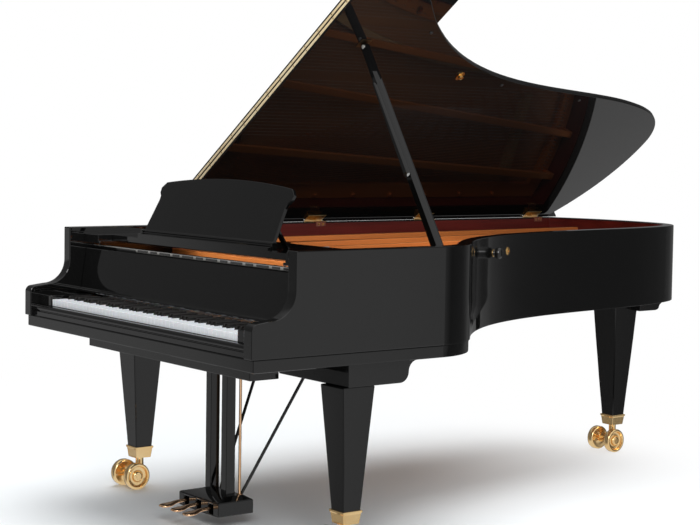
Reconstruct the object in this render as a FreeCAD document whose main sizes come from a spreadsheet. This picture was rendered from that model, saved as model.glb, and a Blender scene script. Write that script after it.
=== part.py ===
import FreeCAD, Part
import math
import os
import re
from types import SimpleNamespace

# A concert grand piano with its lid propped open and the front of the lid folded back.
# X runs from bass to treble, Y from the player towards the tail, Z up from the floor.
# The origin lies on the floor, in the middle of the case.  Lengths are millimetres, angles degrees.

SIZES = {
    # keyboard
    "natural_pitch": 23.5, "key_gap": 1, "natural_head": 50, "key_length": 400, "key_thickness": 24,
    "sharp_length": 95, "sharp_width": 11, "sharp_rise": 12, "sharp_slope": 5, "balance_reach": 230,
    "ridge_radius": 6, "frame_rail": 50, "frame_height": 20, "frame_gap": 0.3, "shift_room": 4,
    "key_height": 65, "key_setback": 41,
    # case outline, seen from above
    "case_length": 2750, "rim_base": 670, "rim_height": 320, "rim_wall": 45,
    "corner_depth": 745, "corner_radius": 245, "corner_turn_angle": 49,
    "bentside_lead": 785, "bentside_trail": 475, "tail_angle": 24, "tail_radius": 290,
    "tail_offset": 190, "tail_sweep_radius": 984, "tail_sweep_angle": 80, "spine_radius": 40,
    "least_radius": 2,
    # arms at the ends of the keyboard
    "arm_step": 158, "cove_drop": 120, "cove_radius": 86, "nose_rise": 43, "nose_radius": 22,
    # key bed and the pieces around the keys
    "keybed_thickness": 40, "keybed_inset": 5, "keybed_front": 10, "tray_clearance": 48,
    "slip_front": 14, "slip_thickness": 23, "slip_height": 40,
    "block_width": 89.4, "block_drop": 9, "block_depth": 176,
    "case_fit": 0.6, "running_gap": 0.3, "cut_overrun": 20,
    # fallboard
    "fall_hinge_depth": 204, "fall_clearance": 10, "fall_height": 158, "fall_thickness": 18,
    "fall_lean_angle": 8, "fall_lip": 9, "fall_barrel_radius": 7, "fall_pin_radius": 4,
    "fall_pin_length": 12, "pin_clearance": 0.05,
    # inside of the case
    "lining_thickness": 5, "lining_drop": 4, "ledge_width": 62, "ledge_drop": 129, "board_thickness": 9,
    "belly_lap": 5, "belly_depth": 62, "plate_gap": 0.6, "plate_thickness": 25, "plate_drop": 90,
    "plate_setback": 5, "plate_flange": 66, "web_depth": 205, "skirt_width": 20, "strut_width": 30,
    "strut_height": 20, "strut_foot": 22, "strut_clearance": 12, "web_hole_radius": 24, "web_hole_inset": 65,
    "flange_hole_radius": 17, "post_width": 80, "post_height": 110, "post_drop": 20,
    "pin_block_depth": 148, "pin_block_height": 34,
    # strings and dampers
    "pin_radius": 3.4, "pin_rise": 31, "pin_row_pitch": 24, "pin_row_inset": 33, "agraffe_width": 7,
    "agraffe_inset": 12, "string_rise": 10, "treble_wire_radius": 0.6, "bass_wire_radius": 1.6,
    "bass_rise": 9, "bend_radius": 60, "hitch_radius": 2, "hitch_rise": 2, "hitch_inset": 98,
    "bridge_inset": 250, "bridge_width": 34, "bass_bridge_inset": 330, "damper_setback": 50,
    "damper_length": 52, "damper_height": 11, "damper_wire_radius": 1.2, "damper_width": 8,
    "damped_length": 380, "tray_drop": 150, "tray_height": 14,
    # music shelf and desk
    "shelf_half_width": 600, "shelf_setback": 76, "shelf_depth": 310, "shelf_thickness": 22, "shelf_drop": 24,
    "shelf_travel": 60, "rail_height": 10, "rail_depth": 12, "wing_gap": 1, "desk_hinge_rise": 24,
    "desk_hinge_inset": 24, "desk_half_width": 418, "desk_height": 219, "desk_thickness": 12, "desk_foot": 10,
    "desk_lean_angle": 26, "lip_depth": 10, "lip_height": 14, "desk_prop_height": 80,
    "desk_prop_offset": 335, "desk_prop_width": 26, "desk_prop_thickness": 7, "desk_prop_angle": 60,
    "desk_barrel_radius": 4.5, "desk_pin_radius": 3, "desk_pin_length": 10, "lug_width": 12, "lug_depth": 20,
    "lug_rise": 4,
    # lid
    "fold_setback": 8, "lid_thickness": 20, "lid_overhang": 12, "lid_lift": 5, "lid_angle": 34,
    "flap_length": 458, "flap_gap": 1, "leaf_thickness": 1.5, "leaf_height": 15, "knuckle_radius": 1.2,
    "lid_pivot_offset": 5, "hinge_leaf_thickness": 2, "hinge_length": 90, "hinge_depth": 36,
    "hinge_knuckle_radius": 4, "cup_width": 44, "cup_thickness": 2,
    # lid prop
    "prop_setback": 51, "prop_lean_angle": 2.8, "prop_inset": 30, "prop_pivot_drop": 26, "prop_width": 42,
    "prop_thickness": 22,
    "prop_tip_width": 26, "bracket_wall": 5, "bracket_width": 32, "prop_pin_radius": 6,
    "short_prop_length": 360, "short_prop_width": 24, "short_prop_thickness": 12, "short_prop_height": 296,
    # lock on the bentside
    "lock_drop": 60, "knob_radius": 21, "knob_length": 26, "knob_neck_radius": 8, "knob_neck_length": 9,
    "rosette_radius": 15, "rosette_thickness": 4,
    # legs, ferrules and casters
    "leg_inset": 98, "leg_setback": 431, "leg_foot_height": 148, "leg_top_width": 124, "leg_foot_width": 66,
    "rear_leg_offset": 193, "rear_leg_inset": 222, "rear_pad_half_width": 105,
    "ferrule_height": 36, "ferrule_flange_width": 76, "ferrule_lip_height": 8, "ferrule_foot_width": 50,
    "leg_block_height": 75, "leg_block_width": 381, "leg_block_inset": 34, "leg_block_front": 386,
    "leg_block_depth": 278, "leg_block_round": 70,
    "wheel_radius": 50, "wheel_width": 32, "wheel_offset": 48, "caster_trail": 40, "axle_radius": 9,
    "axle_gap": 0.08, "stem_radius": 15, "fork_width": 56, "fork_height": 26,
    "brake_length": 46, "brake_thickness": 6,
    # pedal lyre
    "beam_half_width": 525, "beam_front": 145, "beam_depth": 110, "beam_height": 60, "post_offset": 50,
    "post_side": 36, "post_setback": 69, "box_half_width": 128, "box_front": 289, "box_depth": 142,
    "box_lift": 44, "box_height": 48, "box_wall": 9, "pedal_pitch": 78, "pedal_width": 26,
    "pedal_reach": 119, "pedal_pivot_depth": 83, "pedal_tail": 46, "pedal_thickness": 11, "pedal_rise": 17,
    "slot_gap": 2, "rod_radius": 5, "rod_gap": 0.3, "rod_offset": 34, "rod_headroom": 12,
    "pedal_pin_radius": 4,
    "brace_radius": 5.5, "brace_foot_offset": 64, "brace_head_offset": 168, "brace_head_depth": 691,
    "brace_foot_inset": 13,
}

NATURAL_COUNT = 52
FIRST_NATURAL = 5              # the lowest key is an A, the sixth natural of an octave that starts at C
SINGLE_NATURAL = 23            # middle C, counted from the lowest natural
SHARP_AFTER = (True, True, False, True, True, True, False)
TREBLE_STRINGS = 66
BASS_STRINGS = 26
BENTSIDE_STEPS = 14

# Levels and places that follow from the sizes: heights from the floor, depths from the front of the arms.

z = SimpleNamespace(**SIZES)
keyboard_half = NATURAL_COUNT * z.natural_pitch / 2
rim_top = z.rim_base + z.rim_height
keybed_base = z.rim_base - z.keybed_thickness
key_top = z.rim_base + z.key_height
shelf_front = z.fall_hinge_depth + z.shelf_setback
plate_front = shelf_front + z.shelf_depth + z.plate_setback
damper_row = plate_front + z.web_depth + z.damper_setback
keybed_depth = damper_row + z.damper_length + z.tray_clearance
PLACES = {
    "case_width": 2 * (keyboard_half + z.shift_room + z.block_width + z.case_fit + z.rim_wall),
    "rim_top": rim_top, "keybed_base": keybed_base, "key_top": key_top, "key_front": z.key_setback,
    "cove_top": rim_top - z.cove_drop, "nose_top": key_top + z.nose_rise,
    "fall_hinge_height": key_top + z.sharp_rise + z.fall_clearance,
    "ledge_top": rim_top - z.ledge_drop, "plate_top": rim_top - z.plate_drop,
    "shelf_top": rim_top - z.shelf_drop, "shelf_front": shelf_front, "plate_front": plate_front,
    "keybed_depth": keybed_depth, "belly_front": keybed_depth - z.belly_lap,
    "pin_row_front": plate_front + z.pin_row_inset,
    "agraffe_row": plate_front + z.web_depth - z.agraffe_inset,
    "damper_row": damper_row,
    "lid_fold": plate_front + z.fold_setback, "prop_place": z.corner_depth + z.prop_setback,
    "leg_top": keybed_base - z.leg_block_height, "rear_leg_place": z.case_length - z.rear_leg_inset,
    "beam_base": keybed_base - z.beam_height, "post_place": z.box_front + z.post_setback,
    "pedal_tip": z.box_front - z.pedal_reach, "pedal_pivot": z.box_front + z.pedal_pivot_depth,
    "brace_foot": z.box_front + z.box_depth - z.brace_foot_inset,
}

doc = FreeCAD.newDocument("grand_piano")
sheet = doc.addObject("Spreadsheet::Sheet", "Sizes")
for row, (name, value) in enumerate((SIZES | PLACES).items(), start=1):
    sheet.set("A%d" % row, name)
    sheet.set("B%d" % row, str(value))
    sheet.setAlias("B%d" % row, name)
doc.recompute()

s = SimpleNamespace(**{name: float(sheet.get(name)) for name in SIZES | PLACES})
half = s.case_width / 2
inner = half - s.rim_wall
pieces = []


def bound(text):
    """An expression on the sheet, from a sum of its aliases."""
    return re.sub(r"[a-z][a-z_]+", lambda word: "Sizes." + word.group(), text)


def bind(thing, sizes, x, y, z):
    """Bind sizes and a place, with y counted from the front of the arms."""
    for prop, text in sizes.items():
        thing.setExpression(prop, bound(text))
    for axis, text in zip("xyz", (x, "%s - case_length / 2" % y, z)):
        thing.setExpression("Placement.Base." + axis, bound(text))
    return thing


def box(name, length, depth, height, x, y, z):
    """A block with its low corner at x, y, z, every size an expression on the sheet."""
    thing = doc.addObject("Part::Box", name)
    return bind(thing, {"Length": length, "Width": depth, "Height": height}, x, y, z)


def cylinder(name, radius, height, x, y, z):
    """An upright round bar standing at x, y, z."""
    thing = doc.addObject("Part::Cylinder", name)
    return bind(thing, {"Radius": radius, "Height": height}, x, y, z)


def combine(kind, name, base, tool):
    thing = doc.addObject("Part::" + kind, name)
    thing.Base = base
    thing.Tool = tool
    return thing


def group(name, members):
    thing = doc.addObject("Part::Compound", name)
    thing.Links = members
    return thing


def keep(thing, label):
    """Hand a finished sub-part in under its own label."""
    thing.Label = label
    pieces.append(thing)
    return thing


def feature(label, shape, placement=None):
    """A sub-part whose shape is drawn from curves or repeated by a loop."""
    thing = doc.addObject("Part::Feature", label)
    thing.Shape = shape
    if placement is not None:
        thing.Placement = placement
    return keep(thing, label)


def at(x, y, z=0):
    """A point, with y counted from the front of the arms."""
    return FreeCAD.Vector(x, y - s.case_length / 2, z)


def block(x0, x1, y0, y1, z0, z1):
    return Part.makeBox(x1 - x0, y1 - y0, z1 - z0, at(x0, y0, z0))


def bar(radius, start, end):
    """A round bar from one point to another."""
    return Part.makeCylinder(radius, (end - start).Length, start, end - start)


def prism(face, low, high):
    """A flat face at floor level, raised between two heights."""
    lifted = face.copy()
    lifted.translate(FreeCAD.Vector(0, 0, low))
    return lifted.extrude(FreeCAD.Vector(0, 0, high - low))


def polygon(points):
    return Part.Face(Part.makePolygon(points + points[:1]))


def loft(*squares):
    return Part.makeLoft([Part.makePolygon(ring + ring[:1]) for ring in squares], True, True)


def square(x, y, z, width, depth):
    w, d = width / 2, depth / 2
    return [at(x - w, y - d, z), at(x + w, y - d, z), at(x + w, y + d, z), at(x - w, y + d, z)]


# The case outline: straight treble side, round corner, curved bentside, round tail that sweeps on
# to the spine in a flatter arc, and straight spine.

def polar(x, y, radius, angle):
    return at(x + radius * math.cos(angle), y + radius * math.sin(angle))


def arc(x, y, radius, start, end):
    points = [polar(x, y, radius, start + (end - start) * part) for part in (0, 0.5, 1)]
    return Part.Arc(*points).toShape()


corner_turn = math.radians(s.corner_turn_angle)
tail_turn = math.radians(s.tail_angle)
corner_end = polar(half - s.corner_radius, s.corner_depth, s.corner_radius, corner_turn)
sweep_turn = math.radians(s.tail_sweep_angle)
sweep_x = -s.tail_offset - (s.tail_sweep_radius - s.tail_radius) * math.cos(sweep_turn)
sweep_y = s.case_length - s.tail_sweep_radius
tail_y = sweep_y + (s.tail_sweep_radius - s.tail_radius) * math.sin(sweep_turn)
tail_start = polar(-s.tail_offset, tail_y, s.tail_radius, tail_turn)
lead = FreeCAD.Vector(-math.sin(corner_turn), math.cos(corner_turn), 0)
trail = FreeCAD.Vector(-math.sin(tail_turn), math.cos(tail_turn), 0)
bentside = Part.BezierCurve()
bentside.setPoles([corner_end, corner_end + lead * s.bentside_lead,
                   tail_start - trail * s.bentside_trail, tail_start])


def bentside_frame(share):
    """A point of the bentside and the unit vectors along it and inwards from it."""
    along = bentside.tangent(share)[0]
    return bentside.value(share), along, FreeCAD.Vector(-along.y, along.x, 0)


def bentside_points(inset, first_share=0.0, last_share=1.0):
    spots = []
    for step in range(BENTSIDE_STEPS + 1):
        share = first_share + (last_share - first_share) * step / BENTSIDE_STEPS
        point, along, inward = bentside_frame(share)
        spots.append(point + inward * inset)
    return spots


def bentside_edge(inset):
    curve = Part.BSplineCurve()
    curve.interpolate(Points=bentside_points(inset), InitialTangent=lead, FinalTangent=trail)
    return curve.toShape()


def case_face(inset, front):
    """The floor plan of the case drawn in by an inset, closed by a straight line at the front."""
    side = half - inset
    right = half - s.corner_radius
    sweep = s.tail_sweep_radius - inset
    turn = max(s.spine_radius - inset, s.least_radius)
    turn_x = turn - side
    turn_y = sweep_y + math.sqrt((sweep - turn) ** 2 - (turn_x - sweep_x) ** 2)
    meet = math.atan2(turn_y - sweep_y, turn_x - sweep_x)
    edges = [
        Part.makeLine(at(side, front), at(side, s.corner_depth)),
        arc(right, s.corner_depth, s.corner_radius - inset, 0, corner_turn),
        bentside_edge(inset),
        arc(-s.tail_offset, tail_y, s.tail_radius - inset, tail_turn, sweep_turn),
        arc(sweep_x, sweep_y, sweep, sweep_turn, meet),
        arc(turn_x, turn_y, turn, meet, math.pi),
        Part.makeLine(at(-side, turn_y), at(-side, front)),
        Part.makeLine(at(-side, front), at(side, front)),
    ]
    return Part.Face(Part.Wire(edges))


def case_prism(inset, front, low, high):
    """The case outline, drawn in by an inset, between two heights and cut off straight at the front."""
    start = min(front, 0)
    solid = prism(case_face(inset, start), low, high)
    if front > start:
        solid = solid.common(block(-s.case_width, s.case_width, front, s.case_length, low, high))
    return solid


# Rim: one bent wall with the two arms at its front, each arm cut to a cove and a rounded nose.

def arm_waste():
    """What is cut off above both arms: their side profile, seen from the treble side."""
    lift = s.rim_top + s.cut_overrun
    ahead = -s.cut_overrun
    cove_foot = s.cove_top - s.cove_radius
    step_end = s.arm_step - s.cove_radius
    nose = s.nose_radius
    slant = math.sqrt(0.5)

    def spot(y, z):
        return at(-half - s.cut_overrun, y, z)

    edges = [
        Part.makeLine(spot(ahead, lift), spot(s.arm_step, lift)),
        Part.makeLine(spot(s.arm_step, lift), spot(s.arm_step, s.cove_top)),
        Part.Arc(spot(s.arm_step, s.cove_top),
                 spot(step_end + s.cove_radius * slant, s.cove_top - s.cove_radius * slant),
                 spot(step_end, cove_foot)).toShape(),
        Part.makeLine(spot(step_end, cove_foot), spot(nose, s.nose_top)),
        Part.Arc(spot(nose, s.nose_top),
                 spot(nose - nose * slant, s.nose_top - nose + nose * slant),
                 spot(0, s.nose_top - nose)).toShape(),
        Part.makeLine(spot(0, s.nose_top - nose), spot(ahead, s.nose_top - nose)),
        Part.makeLine(spot(ahead, s.nose_top - nose), spot(ahead, lift)),
    ]
    across = FreeCAD.Vector(s.case_width + 2 * s.cut_overrun, 0, 0)
    return Part.Face(Part.Wire(edges)).extrude(across)


rim_solid = case_prism(0, 0, s.rim_base, s.rim_top)
rim_solid = rim_solid.cut(case_prism(s.rim_wall, -s.cut_overrun, s.rim_base - s.cut_overrun,
                                     s.rim_top + s.cut_overrun))
pin_reach = inner + s.fall_pin_length
pin_bore = bar(s.fall_pin_radius + s.pin_clearance, at(-pin_reach, s.fall_hinge_depth, s.fall_hinge_height),
               at(pin_reach, s.fall_hinge_depth, s.fall_hinge_height))
feature("rim", rim_solid.cut(arm_waste()).cut(pin_bore))

# Key bed: the board under the keyboard, its outline drawn in a little from the rim.

keybed_solid = case_prism(s.keybed_inset, s.keybed_front, s.keybed_base, s.rim_base)
keybed_room = block(-s.case_width, s.case_width, 0, s.keybed_depth, s.keybed_base, s.rim_base)
feature("keybed", keybed_solid.common(keybed_room))

# Key slip: the rail in front of the keys, rounded along its upper edge.

slip = box("slip_bar", "case_width - 2 * rim_wall - 2 * case_fit", "slip_thickness", "slip_height",
           "rim_wall + case_fit - case_width / 2", "slip_front", "rim_base")
doc.recompute()
slip_top = [i + 1 for i, edge in enumerate(slip.Shape.Edges)
            if edge.BoundBox.ZMin > s.rim_base + s.slip_height / 2
            and edge.BoundBox.XLength > s.case_width / 2
            and edge.BoundBox.YMax < slip.Shape.BoundBox.YMax]
slip_round = doc.addObject("Part::Fillet", "slip_round")
slip_round.Base = slip
slip_round.Edges = [(i, s.slip_thickness / 3, s.slip_thickness / 3) for i in slip_top]
keep(slip_round, "key_slip")

# Key blocks: the two blocks between the outermost keys and the arms.

block_front = s.slip_front + s.slip_thickness + s.case_fit
block_solids = [block(side * (inner - s.case_fit) - (s.block_width if side > 0 else 0),
                      side * (inner - s.case_fit) + (0 if side > 0 else s.block_width),
                      block_front, block_front + s.block_depth,
                      s.rim_base, s.fall_hinge_height - s.block_drop) for side in (-1, 1)]
feature("key_blocks", Part.makeCompound(block_solids))

# Keyboard: every key is one lever on the balance rail of a frame that the left pedal shifts.

key_base = s.key_top - s.key_thickness
balance = s.key_front + s.balance_reach


def sharp_centre(index):
    """The line between a natural and the next one, where a sharp lies."""
    return (index + 1) * s.natural_pitch - keyboard_half


def has_sharp(index):
    return 0 <= index < NATURAL_COUNT - 1 and SHARP_AFTER[(index + FIRST_NATURAL) % len(SHARP_AFTER)]


def natural_key(index):
    left = index * s.natural_pitch - keyboard_half + s.key_gap / 2
    right = left + s.natural_pitch - s.key_gap
    solid = block(left, right, s.key_front, s.key_front + s.key_length, key_base, s.key_top)
    reach = s.sharp_width / 2 + s.key_gap
    for neighbour in (index - 1, index):
        if has_sharp(neighbour):
            line = sharp_centre(neighbour)
            solid = solid.cut(block(line - reach, line + reach, s.key_front + s.natural_head,
                                    s.key_front + s.key_length + s.cut_overrun,
                                    key_base - s.cut_overrun, s.key_top + s.cut_overrun))
    return solid


def sharp_key(index):
    line = sharp_centre(index)
    low, high = line - s.sharp_width / 2, line + s.sharp_width / 2
    front = s.key_front + s.natural_head + 2 * s.key_gap
    back = s.key_front + s.key_length
    top = s.key_top + s.sharp_rise
    end = front + s.sharp_length
    side = [at(low, front, key_base), at(low, back, key_base), at(low, back, s.key_top),
            at(low, end, s.key_top), at(low, end, top), at(low, front + s.sharp_slope, top),
            at(low, front, s.key_top)]
    return polygon(side).extrude(FreeCAD.Vector(high - low, 0, 0))


naturals = [index for index in range(NATURAL_COUNT) if index != SINGLE_NATURAL]
sharps = [index for index in range(NATURAL_COUNT) if has_sharp(index) and index != SINGLE_NATURAL]
feature("white_keys", Part.makeCompound([natural_key(index) for index in naturals]))
feature("black_keys", Part.makeCompound([sharp_key(index) for index in sharps]))
feature("middle_white_key", natural_key(SINGLE_NATURAL))
feature("middle_black_key", sharp_key(SINGLE_NATURAL))

frame_low = s.rim_base + s.frame_gap
ridge_height = key_base - s.running_gap - s.ridge_radius
frame_side = keyboard_half
frame_front = s.key_front + s.key_gap
frame_solid = block(-frame_side, frame_side, frame_front, frame_front + s.frame_rail,
                    frame_low, frame_low + s.frame_height)
frame_solid = frame_solid.fuse(block(-frame_side, frame_side, balance - s.frame_rail / 2,
                                     balance + s.frame_rail / 2, frame_low, ridge_height))
frame_solid = frame_solid.fuse(block(-frame_side, frame_side, s.key_front + s.key_length - s.frame_rail,
                                     s.key_front + s.key_length, frame_low, frame_low + s.frame_height))
frame_tie_shares = (-1, -0.5, 0, 0.5, 1)
for share in frame_tie_shares:
    line = share * (frame_side - s.frame_rail / 2)
    frame_solid = frame_solid.fuse(block(line - s.frame_rail / 2, line + s.frame_rail / 2, frame_front,
                                         s.key_front + s.key_length, frame_low, frame_low + s.frame_height))
frame_solid = frame_solid.fuse(bar(s.ridge_radius, at(-frame_side, balance, ridge_height),
                                   at(frame_side, balance, ridge_height)))
feature("key_frame", frame_solid.removeSplitter())

# Fallboard: the cover of the keys, standing open on two pins in the arms; its foot is a round barrel.

fall_half = inner - s.case_fit
fall_profile = [at(-fall_half, s.fall_hinge_depth, s.fall_hinge_height),
                at(-fall_half, s.fall_hinge_depth, s.fall_hinge_height + s.fall_height),
                at(-fall_half, s.fall_hinge_depth + s.fall_thickness + s.fall_lip,
                   s.fall_hinge_height + s.fall_height),
                at(-fall_half, s.fall_hinge_depth + s.fall_thickness + s.fall_lip,
                   s.fall_hinge_height + s.fall_height - s.fall_lip),
                at(-fall_half, s.fall_hinge_depth + s.fall_thickness,
                   s.fall_hinge_height + s.fall_height - s.fall_lip),
                at(-fall_half, s.fall_hinge_depth + s.fall_thickness, s.fall_hinge_height)]
fall_shape = polygon(fall_profile).extrude(FreeCAD.Vector(2 * fall_half, 0, 0))
for reach, radius in ((fall_half, s.fall_barrel_radius), (pin_reach - s.running_gap, s.fall_pin_radius)):
    fall_shape = fall_shape.fuse(bar(radius, at(-reach, s.fall_hinge_depth, s.fall_hinge_height),
                                     at(reach, s.fall_hinge_depth, s.fall_hinge_height)))
fall_axis = at(0, s.fall_hinge_depth, s.fall_hinge_height)
feature("fallboard", fall_shape, FreeCAD.Placement(
    FreeCAD.Vector(), FreeCAD.Rotation(FreeCAD.Vector(1, 0, 0), -s.fall_lean_angle), fall_axis))

# Inside of the case: veneered lining, ledge, posts and soundboard.

lining_inset = s.rim_wall + s.lining_thickness
board_top = s.ledge_top + s.board_thickness
lining_solid = case_prism(s.rim_wall, s.plate_front, s.ledge_top, s.rim_top - s.lining_drop)
lining_solid = lining_solid.cut(case_prism(lining_inset, 0, s.ledge_top - s.cut_overrun, s.rim_top))
feature("rim_lining", lining_solid)

ledge_inset = s.rim_wall + s.ledge_width
post_front = s.belly_front + s.belly_depth
ledge_solid = case_prism(s.rim_wall, s.belly_front, s.rim_base, s.ledge_top)
ledge_solid = ledge_solid.cut(case_prism(ledge_inset, post_front, s.rim_base - s.cut_overrun, s.rim_top))
feature("inner_rim", ledge_solid)

post_low = s.rim_base + s.post_drop
post_lane_shares = (-0.36, -0.12, 0.05, 0.22)
post_room = case_prism(ledge_inset, post_front, post_low, post_low + s.post_height)
post_solids = []
for share in post_lane_shares:
    line = share * s.case_width
    lane = block(line - s.post_width / 2, line + s.post_width / 2, 0, s.case_length,
                 post_low, post_low + s.post_height)
    post_solids.append(post_room.common(lane).Solids[0])
feature("back_posts", Part.makeCompound(post_solids))

feature("soundboard", case_prism(lining_inset + s.case_fit, s.belly_front, s.ledge_top, board_top))

# Plate: the cast frame, with a web at the pins, a flange round the edge and struts above the strings.

plate_inset = lining_inset + s.plate_gap
flange_inset = plate_inset + s.plate_flange
plate_base = s.plate_top - s.plate_thickness
web_back = s.plate_front + s.web_depth
string_level = s.plate_top + s.string_rise
bass_level = string_level + s.bass_rise
strut_base = bass_level + s.strut_clearance
strut_top = strut_base + s.strut_height
strut_lane_shares = (-0.30, -0.10, 0.06, 0.21)
strut_tail_shares = (-0.39, -0.25, -0.10, 0.075)
plate_solid = case_prism(plate_inset, s.plate_front, plate_base, s.plate_top)
plate_solid = plate_solid.cut(case_prism(flange_inset, web_back, plate_base - s.cut_overrun,
                                         s.plate_top + s.cut_overrun))
skirt_solid = case_prism(plate_inset, s.belly_front, board_top, plate_base)
skirt_solid = skirt_solid.cut(case_prism(plate_inset + s.skirt_width, 0, board_top - s.cut_overrun,
                                         s.plate_top))
plate_solid = plate_solid.fuse(skirt_solid)
strut_start = web_back - s.strut_foot
strut_room = case_prism(plate_inset, strut_start, s.plate_top, strut_top)
strut_hollow = case_prism(plate_inset + s.strut_foot, web_back, 0, strut_base)
for share, tail_share in zip(strut_lane_shares, strut_tail_shares):
    start_line, tail_line = share * s.case_width, tail_share * s.case_width
    lane = prism(polygon([at(start_line - s.strut_width / 2, strut_start),
                          at(start_line + s.strut_width / 2, strut_start),
                          at(tail_line + s.strut_width / 2, s.case_length),
                          at(tail_line - s.strut_width / 2, s.case_length)]), 0, s.rim_top)
    plate_solid = plate_solid.fuse(strut_room.common(lane).cut(strut_hollow))
web_hole_shares = (-0.40, -0.20, -0.02, 0.135, 0.30)
for share in web_hole_shares:
    centre = at(share * s.case_width, web_back - s.web_hole_inset)
    plate_solid = plate_solid.cut(Part.makeCylinder(s.web_hole_radius, s.rim_top, centre))
flange_hole_shares = (0.08, 0.15, 0.30, 0.44)
for share in flange_hole_shares:
    point, along, inward = bentside_frame(share)
    centre = point + inward * (plate_inset + s.plate_flange / 2 + s.skirt_width / 2)
    plate_solid = plate_solid.cut(Part.makeCylinder(s.flange_hole_radius, s.rim_top, centre))
feature("plate", plate_solid.removeSplitter())

pin_block = box("pin_block_bar", "case_width - 2 * rim_wall - 2 * lining_thickness - 2 * case_fit",
                "pin_block_depth", "pin_block_height",
                "rim_wall + lining_thickness + case_fit - case_width / 2", "plate_front",
                "plate_top - plate_thickness - pin_block_height")
keep(pin_block, "pin_block")

# Strings: plain wires on the treble side, wound wires that cross over them on the bass side.

treble_shares = (-0.275, 0.40)
bass_front_shares = (-0.425, -0.33)
bass_back_shares = (-0.37, -0.07)
strut_clear = s.strut_width / 2 + s.agraffe_width


def outline_reach(x, inset):
    """How far back the case, drawn in by an inset, reaches along a line of constant x."""
    if x < sweep_x + (s.tail_sweep_radius - inset) * math.cos(sweep_turn):
        return sweep_y + math.sqrt((s.tail_sweep_radius - inset) ** 2 - (x - sweep_x) ** 2)
    spots = bentside_points(inset)
    for one, two in zip(spots, spots[1:]):
        if two.x <= x <= one.x:
            return one.y + (x - one.x) / (two.x - one.x) * (two.y - one.y) + s.case_length / 2
    if x > spots[0].x:
        return s.corner_depth
    return tail_y + math.sqrt((s.tail_radius - inset) ** 2 - (x + s.tail_offset) ** 2)


def spread(shares, index, count):
    """An x place, shared out evenly between two shares of the width."""
    first_share, last_share = shares
    return (first_share + (last_share - first_share) * index / (count - 1)) * s.case_width


def treble_lines():
    """The treble strings' x places, evenly shared out between the struts."""
    first_share, last_share = treble_shares
    ends = [first_share * s.case_width]
    for share in strut_lane_shares:
        if share > first_share:
            ends += [share * s.case_width - strut_clear, share * s.case_width + strut_clear]
    ends.append(last_share * s.case_width)
    spans = list(zip(ends[::2], ends[1::2]))
    total = sum(high - low for low, high in spans)
    lines = []
    for low, high in spans:
        count = round(TREBLE_STRINGS * (high - low) / total)
        lines += [low + (high - low) * index / (count - 1) for index in range(count)]
    return lines


pins, agraffes, treble_wires, bass_wires, hitches, dampers = [], [], [], [], [], []


def add_pin(x, index):
    """A tuning pin in one of three rows, and the place just behind it where its string starts."""
    place = s.pin_row_front + index % 3 * s.pin_row_pitch
    pins.append(Part.makeCylinder(s.pin_radius, s.pin_rise, at(x, place, s.plate_top)))
    return place + s.pin_radius + s.running_gap


def add_agraffe(x, level, radius):
    width = s.agraffe_width / 2
    agraffes.append(block(x - width, x + width, s.agraffe_row - width, s.agraffe_row + width,
                          s.plate_top, level - radius))


def add_hitch(x, y, level):
    hitches.append(Part.makeCylinder(s.hitch_radius, level - s.plate_top + s.hitch_rise,
                                     at(x, y, s.plate_top)))
    return y - s.hitch_radius - s.running_gap


def bent_wire(start, bend, end):
    """A bass wire that turns round its agraffe."""
    ahead = (bend - start).normalize()
    away = (end - bend).normalize()
    turn = ahead.getAngle(away) / 2
    first = bend - ahead * s.bend_radius * math.tan(turn)
    last = bend + away * s.bend_radius * math.tan(turn)
    middle = bend + (away - ahead).normalize() * s.bend_radius * (1 / math.cos(turn) - 1)
    path = Part.Wire([Part.makeLine(start, first), Part.Arc(first, middle, last).toShape(),
                      Part.makeLine(last, end)])
    return path.makePipeShell([Part.Wire(Part.makeCircle(s.bass_wire_radius, start, ahead))], True, True)


def damper(x):
    """A damper head resting on its string, on a wire that comes up beside the string."""
    low = string_level + s.treble_wire_radius + s.running_gap
    width = s.damper_width / 2
    head = block(x - width, x + width, s.damper_row, s.damper_row + s.damper_length,
                 low, low + s.damper_height)
    foot = at(x + width - s.damper_wire_radius, s.damper_row + s.damper_length / 2,
              string_level - s.tray_drop)
    return head.fuse(Part.makeCylinder(s.damper_wire_radius, low - foot.z, foot))


for index, line in enumerate(treble_lines()):
    start = at(line, add_pin(line, index), string_level)
    reach = outline_reach(line, s.hitch_inset)
    end = at(line, add_hitch(line, reach, string_level), string_level)
    treble_wires.append(bar(s.treble_wire_radius, start, end))
    add_agraffe(line, string_level, s.treble_wire_radius)
    if reach > s.agraffe_row + s.damped_length:
        dampers.append(damper(line))
        tray_end = line + s.damper_width
for index in range(BASS_STRINGS):
    line = spread(bass_front_shares, index, BASS_STRINGS)
    back = spread(bass_back_shares, index, BASS_STRINGS)
    start = at(line, add_pin(line, index), bass_level)
    end = at(back, add_hitch(back, outline_reach(back, s.hitch_inset), bass_level), bass_level)
    bass_wires.append(bent_wire(start, at(line, s.agraffe_row, bass_level), end))
    add_agraffe(line, bass_level, s.bass_wire_radius)

feature("tuning_pins", Part.makeCompound(pins))
feature("agraffes", Part.makeCompound(agraffes))
feature("treble_strings", Part.makeCompound(treble_wires))
feature("bass_strings", Part.makeCompound(bass_wires))
feature("hitch_pins", Part.makeCompound(hitches))
feature("dampers", Part.makeCompound(dampers))
tray_low = string_level - s.tray_drop - s.tray_height
feature("damper_tray", block(treble_shares[0] * s.case_width - s.damper_width, tray_end, s.damper_row,
                             s.damper_row + s.damper_length, tray_low, string_level - s.tray_drop))

# Bridges: the long one follows the bentside, the short one lies under the bass strings.


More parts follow.
